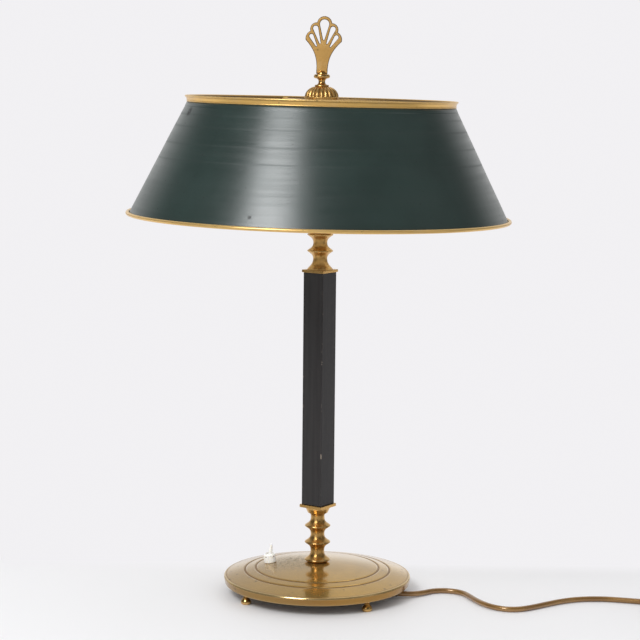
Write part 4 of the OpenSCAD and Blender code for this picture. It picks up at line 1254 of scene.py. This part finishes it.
dark_plastic = plastic_finish("dark_plastic", (0.035, 0.022, 0.014), 0.36)
plated_steel = steel_finish("plated_steel", (0.62, 0.63, 0.65), 0.22)
print("plastic and steel made")

# %% Plug and relief
RELIEF_AT = (60, -24, 5.3)
PLUG_AT = TAIL[-1]
PLUG_BEARING = radians(228.5)
PLUG_RELIEF = 16.0
PLUG_L = 37.0
PLUG_HALF_W = 17.65
PLUG_HALF_T = 6.85
PIN_GAP = 19.0
PIN_R = 2.0
at_plug = shift(*PLUG_AT) @ spin(PLUG_BEARING, "Z")
lay_down = spin(pi / 2, "Y")


def sleeve_outline(length, root, tip, ribs, start=0.0):
    """Tapered sleeve with ribs: a straight taper less a small squared sine along it."""
    z = np.linspace(0, length, 16 * ribs + 1)
    taper = root + (tip - root) * z / length
    groove = 0.45 * np.sin(np.pi * ribs * z / length) ** 4
    side = np.stack([taper - groove, start + z], -1)
    return np.concatenate([[(0, start)], side, [(0, start + length)]])


relief = turned("cord_sleeve", sleeve_outline(24.0, 4.6, 3.3, 6), around=40)
relief.data.transform(shift(*RELIEF_AT) @ lay_down)
belongs(relief, dark_plastic, "stand", "dark_plastic", "strain_relief")

plug_sleeve = turned("plug_sleeve", sleeve_outline(PLUG_RELIEF + 1, 3.2, 4.6, 4), around=40)
plug_sleeve.data.transform(at_plug @ lay_down)
belongs(plug_sleeve, dark_plastic, "stand", "dark_plastic", "plug_relief")


def plug_grid():
    """Ovals along the plug, whose half widths and thicknesses follow smooth curves. Ribs for the
    fingers are a squared sine between two places along it."""
    stations = flowing([(0, 5.4, 5.0), (3, 9.5, 5.8), (8, 15.2, 6.6), (14, 17.6, 6.8),
                        (24, 17.2, 6.8), (33, 16.2, 6.8), (35.8, 15.9, 6.7), (36.7, 15.3, 6.3),
                        (37, 14.4, 5.6)], 1.0)
    x = stations[:, 0]
    w = np.minimum(stations[:, 1], PLUG_HALF_W)
    t = np.minimum(stations[:, 2], PLUG_HALF_T)
    a = np.linspace(0, -2 * pi, 72, endpoint=False)
    y, z = oval(a, 3.4)
    ribbed = np.clip((x - 9) / 3, 0, 1) * np.clip((27 - x) / 3, 0, 1)
    grip = 0.25 * np.sin(x * 2 * pi / 3.2) ** 2 * ribbed
    return np.stack([x[:, None] + 0 * a, -(w - grip)[:, None] * y, t[:, None] * z], -1)


plug = grid_piece("plug_moulding", closed_ends(plug_grid())[:, ::-1])
plug.data.transform(at_plug @ shift(PLUG_RELIEF, 0, 0))
belongs(plug, dark_plastic, "stand", "dark_plastic", "plug_body")

pin_outline = np.concatenate([
    [(0, 0), (PIN_R - 0.05, 0), (PIN_R, 0.4), (PIN_R, 9.0), (PIN_R, 16.6)],
    arc(0, 17.0, PIN_R, 0, 90, 8),
])
for name, way, stands_for in (("pin_left", -1, ["plug_pins"]), ("pin_right", 1, [])):
    pin = turned(name, pin_outline, around=32)
    pin.data.transform(at_plug @ shift(PLUG_RELIEF + PLUG_L, way * PIN_GAP / 2, 0) @ lay_down)
    belongs(pin, plated_steel, "stand", "plated_steel", *stands_for)

# %% Tie of the coil
COIL_INNER_R = 25.5                         # of the innermost turn
TIE_BEARING = radians(205)
TIE_W = 6.0
TIE_T = 0.7


def tie_grid():
    """A strip around the coil's section: an oval in the plane that holds the coil's axis, carried
    over the strip's width. Its half height is also the height of its middle."""
    half_w = 0.5 * (COIL_R - COIL_INNER_R) + CORD_R + 0.5
    centre_r = 0.5 * (COIL_R + COIL_INNER_R)
    half_h = 2 * CORD_R + 0.15
    radial, upward = oval(np.linspace(0, 2 * pi, 64, endpoint=False), 4.5)
    layers = [(0.0, -TIE_W / 2), (TIE_T, -TIE_W / 2), (TIE_T, TIE_W / 2), (0.0, TIE_W / 2)]
    out = []
    for thick, across in layers:
        r = centre_r + (half_w + thick) * radial
        z = np.maximum(half_h + (half_h + thick) * upward, 0.02)
        x = COIL_AT[0] + r * cos(TIE_BEARING) - across * sin(TIE_BEARING)
        y = COIL_AT[1] + r * sin(TIE_BEARING) + across * cos(TIE_BEARING)
        out.append(np.stack([x, y, z], -1))
    return np.stack(out)


tie = grid_piece("coil_tie", tie_grid(), loop=True)
belongs(tie, dark_plastic, "stand", "dark_plastic")

# %% [markdown]
# ## Bulbs and holders
# Two small globes of opal glass stand in screw holders under the shade. Opal glass is white glass
# that lets light through, so a plain glossy white with a little depth reads better than clear
# glass.

# %% Bulbs and holders


def opal_finish():
    """Glossy white with a little depth and soft clouds of a warmer white."""
    f = Finish("opal_glass", IOR=1.5, Subsurface_Weight=0.3, Subsurface_Radius=(1.0, 0.9, 0.8),
               Subsurface_Scale=2 * MM, Coat_Weight=0.5, Coat_Roughness=0.05)
    cloud = f.noise(14, 3)
    f.set(Base_Color=f.mix((0.86, 0.84, 0.78), (0.80, 0.77, 0.70), cloud.rises(0.4, 0.7)),
          Roughness=0.16 + 0.06 * cloud)
    return f.material


opal_glass = opal_finish()
BULB_R = (high("bulb_glass_left")[0] - low("bulb_glass_left")[0]) / 2
BULB_TOP = high("bulb_glass_left")[2]
BULB_LOW = low("bulb_glass_left")[2]
HOLDER_LOW = low("lampholder_left")[2]
HOLDER_TOP = high("lampholder_left")[2]
for side, way in (("left", -1), ("right", 1)):
    x = (low("bulb_glass_" + side)[0] + high("bulb_glass_" + side)[0]) / 2
    globe = arc(0, BULB_TOP - BULB_R, BULB_R, -34, 90, 30)
    neck = flowing([(6.6, BULB_LOW), (6.9, BULB_LOW + 3), (9.0, BULB_LOW + 8.5),
                    (14.0, BULB_LOW + 15), globe[0]], 0.7)[:-1]
    glass = turned("globe_" + side, np.concatenate([[(0, BULB_LOW)], neck, globe]), around=72,
                   centre=(x, 0))
    belongs(glass, opal_glass, "bulb_" + side, "opal_glass", "bulb_glass_" + side)
    holder_outline = eased([
        (8.7, HOLDER_LOW + 12, 0.1), (4.15, HOLDER_LOW + 12, 0.1), (4.15, HOLDER_LOW, 0.2),
        (8.0, HOLDER_LOW, 1.0), (13.5, HOLDER_LOW + 6, 1.5), (13.5, HOLDER_TOP - 9, 0.3),
        (14.7, HOLDER_TOP - 8, 0.4), (14.7, HOLDER_TOP - 5.5, 0.4), (13.5, HOLDER_TOP - 4.5, 0.3),
        (13.5, HOLDER_TOP, 0.8), (8.7, HOLDER_TOP, 0.5)])
    holder = turned("holder_" + side, holder_outline, around=64, centre=(x, 0))
    belongs(holder, dark_plastic, "stand", "dark_plastic", "lampholder_" + side)

# %% [markdown]
# ## Parts that keep their CAD shape
# The parts inside the lamp and under it are already right as CAD solids: rods, nuts, the arms of
# the lampholders, the iron weight, the wires. They only need their own finish, which the record
# names for each of them.

# %% Finishes of the CAD nodes


def iron_finish():
    """Raw grey casting with a coarse grain and patches of rust."""
    f = Finish("iron", Metallic=0.85)
    grain = f.noise(1.6, 4)
    rust = f.noise(14, 4).rises(0.55, 0.7)
    f.set(Base_Color=f.mix((0.075, 0.075, 0.08), (0.12, 0.06, 0.035), rust * 0.7),
          Roughness=0.55 + 0.2 * grain, Normal=f.relief(grain * 0.12))
    return f.material


def board_finish():
    """Brown pressed board with fibres that run one way."""
    f = Finish("board", IOR=1.45)
    fibre = f.noise(2.2, 4, f.stretched(1.0, 0.35, 1.0))
    f.set(Base_Color=f.mix((0.10, 0.062, 0.036), (0.16, 0.105, 0.065), fibre.rises(0.35, 0.65)),
          Roughness=0.75 + 0.1 * fibre, Normal=f.relief(fibre * 0.08))
    return f.material


finishes = {
    "polished_brass": polished_brass, "aged_brass": polished_brass, "plated_steel": plated_steel,
    "iron": iron_finish(), "board": board_finish(), "black_lacquer": black_lacquer,
    "green_paint": green_paint, "dark_plastic": dark_plastic, "white_plastic": white_plastic,
    "opal_glass": opal_glass, "gold_cord": cord_cover,
    "wire_insulation": plastic_finish("wire_insulation", (0.19, 0.07, 0.035), 0.5),
}
kept = 0
for part in frame["record"]["subparts"]:
    node = frame["nodes"][part["node"]]
    if node.hide_render:
        continue
    node.data.materials.clear()
    node.data.materials.append(finishes[part["material_slot"]])
    kept += 1
print(kept, "CAD nodes keep their shape")

# %% [markdown]
# ## Floor, wall and light
# The lamp stands on a pale table in front of a white wall. One large plane is both: the near part
# is a matt pale surface that takes the shadow, and past the table's back edge it turns into plain
# white for the camera and for reflections, which keeps the lamp lit by its lamps alone. In front
# and at the sides the table is small, so what polished metal mirrors beyond it is a darker room.

# %% Table and wall
TABLE_EDGE = (70.0, 125.0)                  # the table's back edge, and where the wall is plain
TABLE_REACH = (230.0, 420.0)                # how far the table shows in reflections
WALL = (0.885, 0.875, 0.895)
FLOOR_FRONT = -6000
FLOOR_BACK = 9000
FLOOR_SIDE = 6000
FLOOR_Z = -0.01


def floor_finish():
    """Matt table near the lamp, darker past its reach in reflections, and past its back edge an
    even glow, which is the wall."""
    f = Finish("pale_floor", Roughness=0.5, IOR=1.4)
    path = f.node("LightPath", {}, {}, "Is Camera Ray")
    glossy = path.other("Is Glossy Ray")
    seen = path.math("MINIMUM", path + glossy + path.other("Is Transmission Ray"), 1.0)
    beyond = glossy * f.radius().rises(*TABLE_REACH) * (1 - f.y.rises(0, 150))
    f.set(Base_Color=f.mix((0.85, 0.845, 0.86), (0.42, 0.41, 0.40), beyond))
    far = f.y.rises(*TABLE_EDGE)
    glow = f.node("Emission", {}, {"Color": (*WALL, 1), "Strength": 1.0})
    mixed = f.node("MixShader", {}, {0: far * seen, 1: Wire(f, f.shader.outputs[0]), 2: glow})
    f.tree.links.new(mixed.socket, f.tree.nodes["Material Output"].inputs["Surface"])
    return f.material


floor_grid = np.zeros((2, 2, 3))
floor_grid[..., 0] = [FLOOR_SIDE, -FLOOR_SIDE]
floor_grid[..., 1] = [[FLOOR_FRONT], [FLOOR_BACK]]
floor_grid[..., 2] = FLOOR_Z
floor = grid_piece("pale_floor", floor_grid, ring=False)
floor.data.materials.append(floor_finish())

# %% Lights
LAMP_MIDDLE = 330                           # height that the lights look at


def softbox(name, bearing, elevation, distance, size, level, colour=(1, 1, 1)):
    """Square light that looks at the middle of the lamp. bearing counts from the viewer's side to
    the right. distance and size are in metres. level is how bright the light itself is, where 1
    is white, and a square light of A square metres needs pi times A watts for it."""
    light = bpy.data.lights.new(name, "AREA")
    light.shape = "SQUARE"
    light.size = size
    light.energy = level * pi * size ** 2
    light.color = colour
    lamp = put(name, light)
    lamp.matrix_world = (shift(0, 0, LAMP_MIDDLE) @ spin(radians(bearing), "Z")
                         @ spin(radians(90 - elevation), "X")
                         @ Matrix.Translation((0, 0, distance)))
    print(name, "light of", round(light.energy, 1), "W")


softbox("key", bearing=-33, elevation=39, distance=2.2, size=0.86, level=11.9,
        colour=(0.975, 0.99, 1.0))
softbox("card", bearing=69, elevation=18, distance=2.2, size=0.9, level=0.5)
softbox("top", bearing=160, elevation=62, distance=2.4, size=1.2, level=1.0)

# %% [markdown]
# The world has two jobs. As soft light it is the same from all sides. In reflections it is a room:
# white wall behind the lamp, a wider pale ceiling light above that, and dark at the sides and in
# front, because polished metal looks flat when everything around it is white.

# %% World
AMBIENT = 0.72
BEHIND = (1.0, 0.66, 0.30)                  # levels at eye height, halfway up and overhead
SIDES = 0.09
FRONT = (0.50, 0.24, 0.08)                  # levels at eye height, just above it and high up


def world_light():
    """For soft light one even level. For reflections a level that changes with the height z and
    with toward_back, which is 1 straight behind the lamp and -1 straight in front."""
    world = bpy.data.worlds.new("studio")
    scene.world = world
    world.use_nodes = True
    net = Network(world.node_tree)
    x = net.node("SeparateXYZ", {}, {0: net.node("TexCoord", {}, {}, "Generated")})
    y, z = x.other(1), x.other(2)
    toward_back = y / (x * x + y * y + 0.0001) ** 0.5
    behind = (BEHIND[0] - (BEHIND[0] - BEHIND[1]) * z.rises(0.08, 0.30)
              - (BEHIND[1] - BEHIND[2]) * z.rises(0.65, 0.90))
    front = (FRONT[0] - (FRONT[0] - FRONT[1]) * abs(z).rises(0.08, 0.20)
             - (FRONT[1] - FRONT[2]) * z.rises(0.20, 0.45))
    level = SIDES + (front - SIDES) * toward_back.rises(-0.45, -0.85)
    height = z.rises(0.05, 0.20)
    lobe = toward_back.rises(0.86 - 0.38 * height, 0.97 - 0.19 * height)
    level = level + (behind - level) * lobe
    path = net.node("LightPath", {}, {}, "Is Camera Ray")
    glossy = path.other("Is Glossy Ray")
    plain = AMBIENT + (level - AMBIENT) * glossy
    seen = path.math("MAXIMUM", path, path.other("Is Transmission Ray"))
    grey = net.node("CombineXYZ", {}, {0: plain, 1: plain, 2: plain})
    colour = net.node("Mix", {"data_type": "RGBA"}, {0: seen, 6: grey, 7: (*WALL, 1)}, 2)
    net.tree.links.new(colour.socket, net.tree.nodes["Background"].inputs["Color"])


world_light()
print("light set")
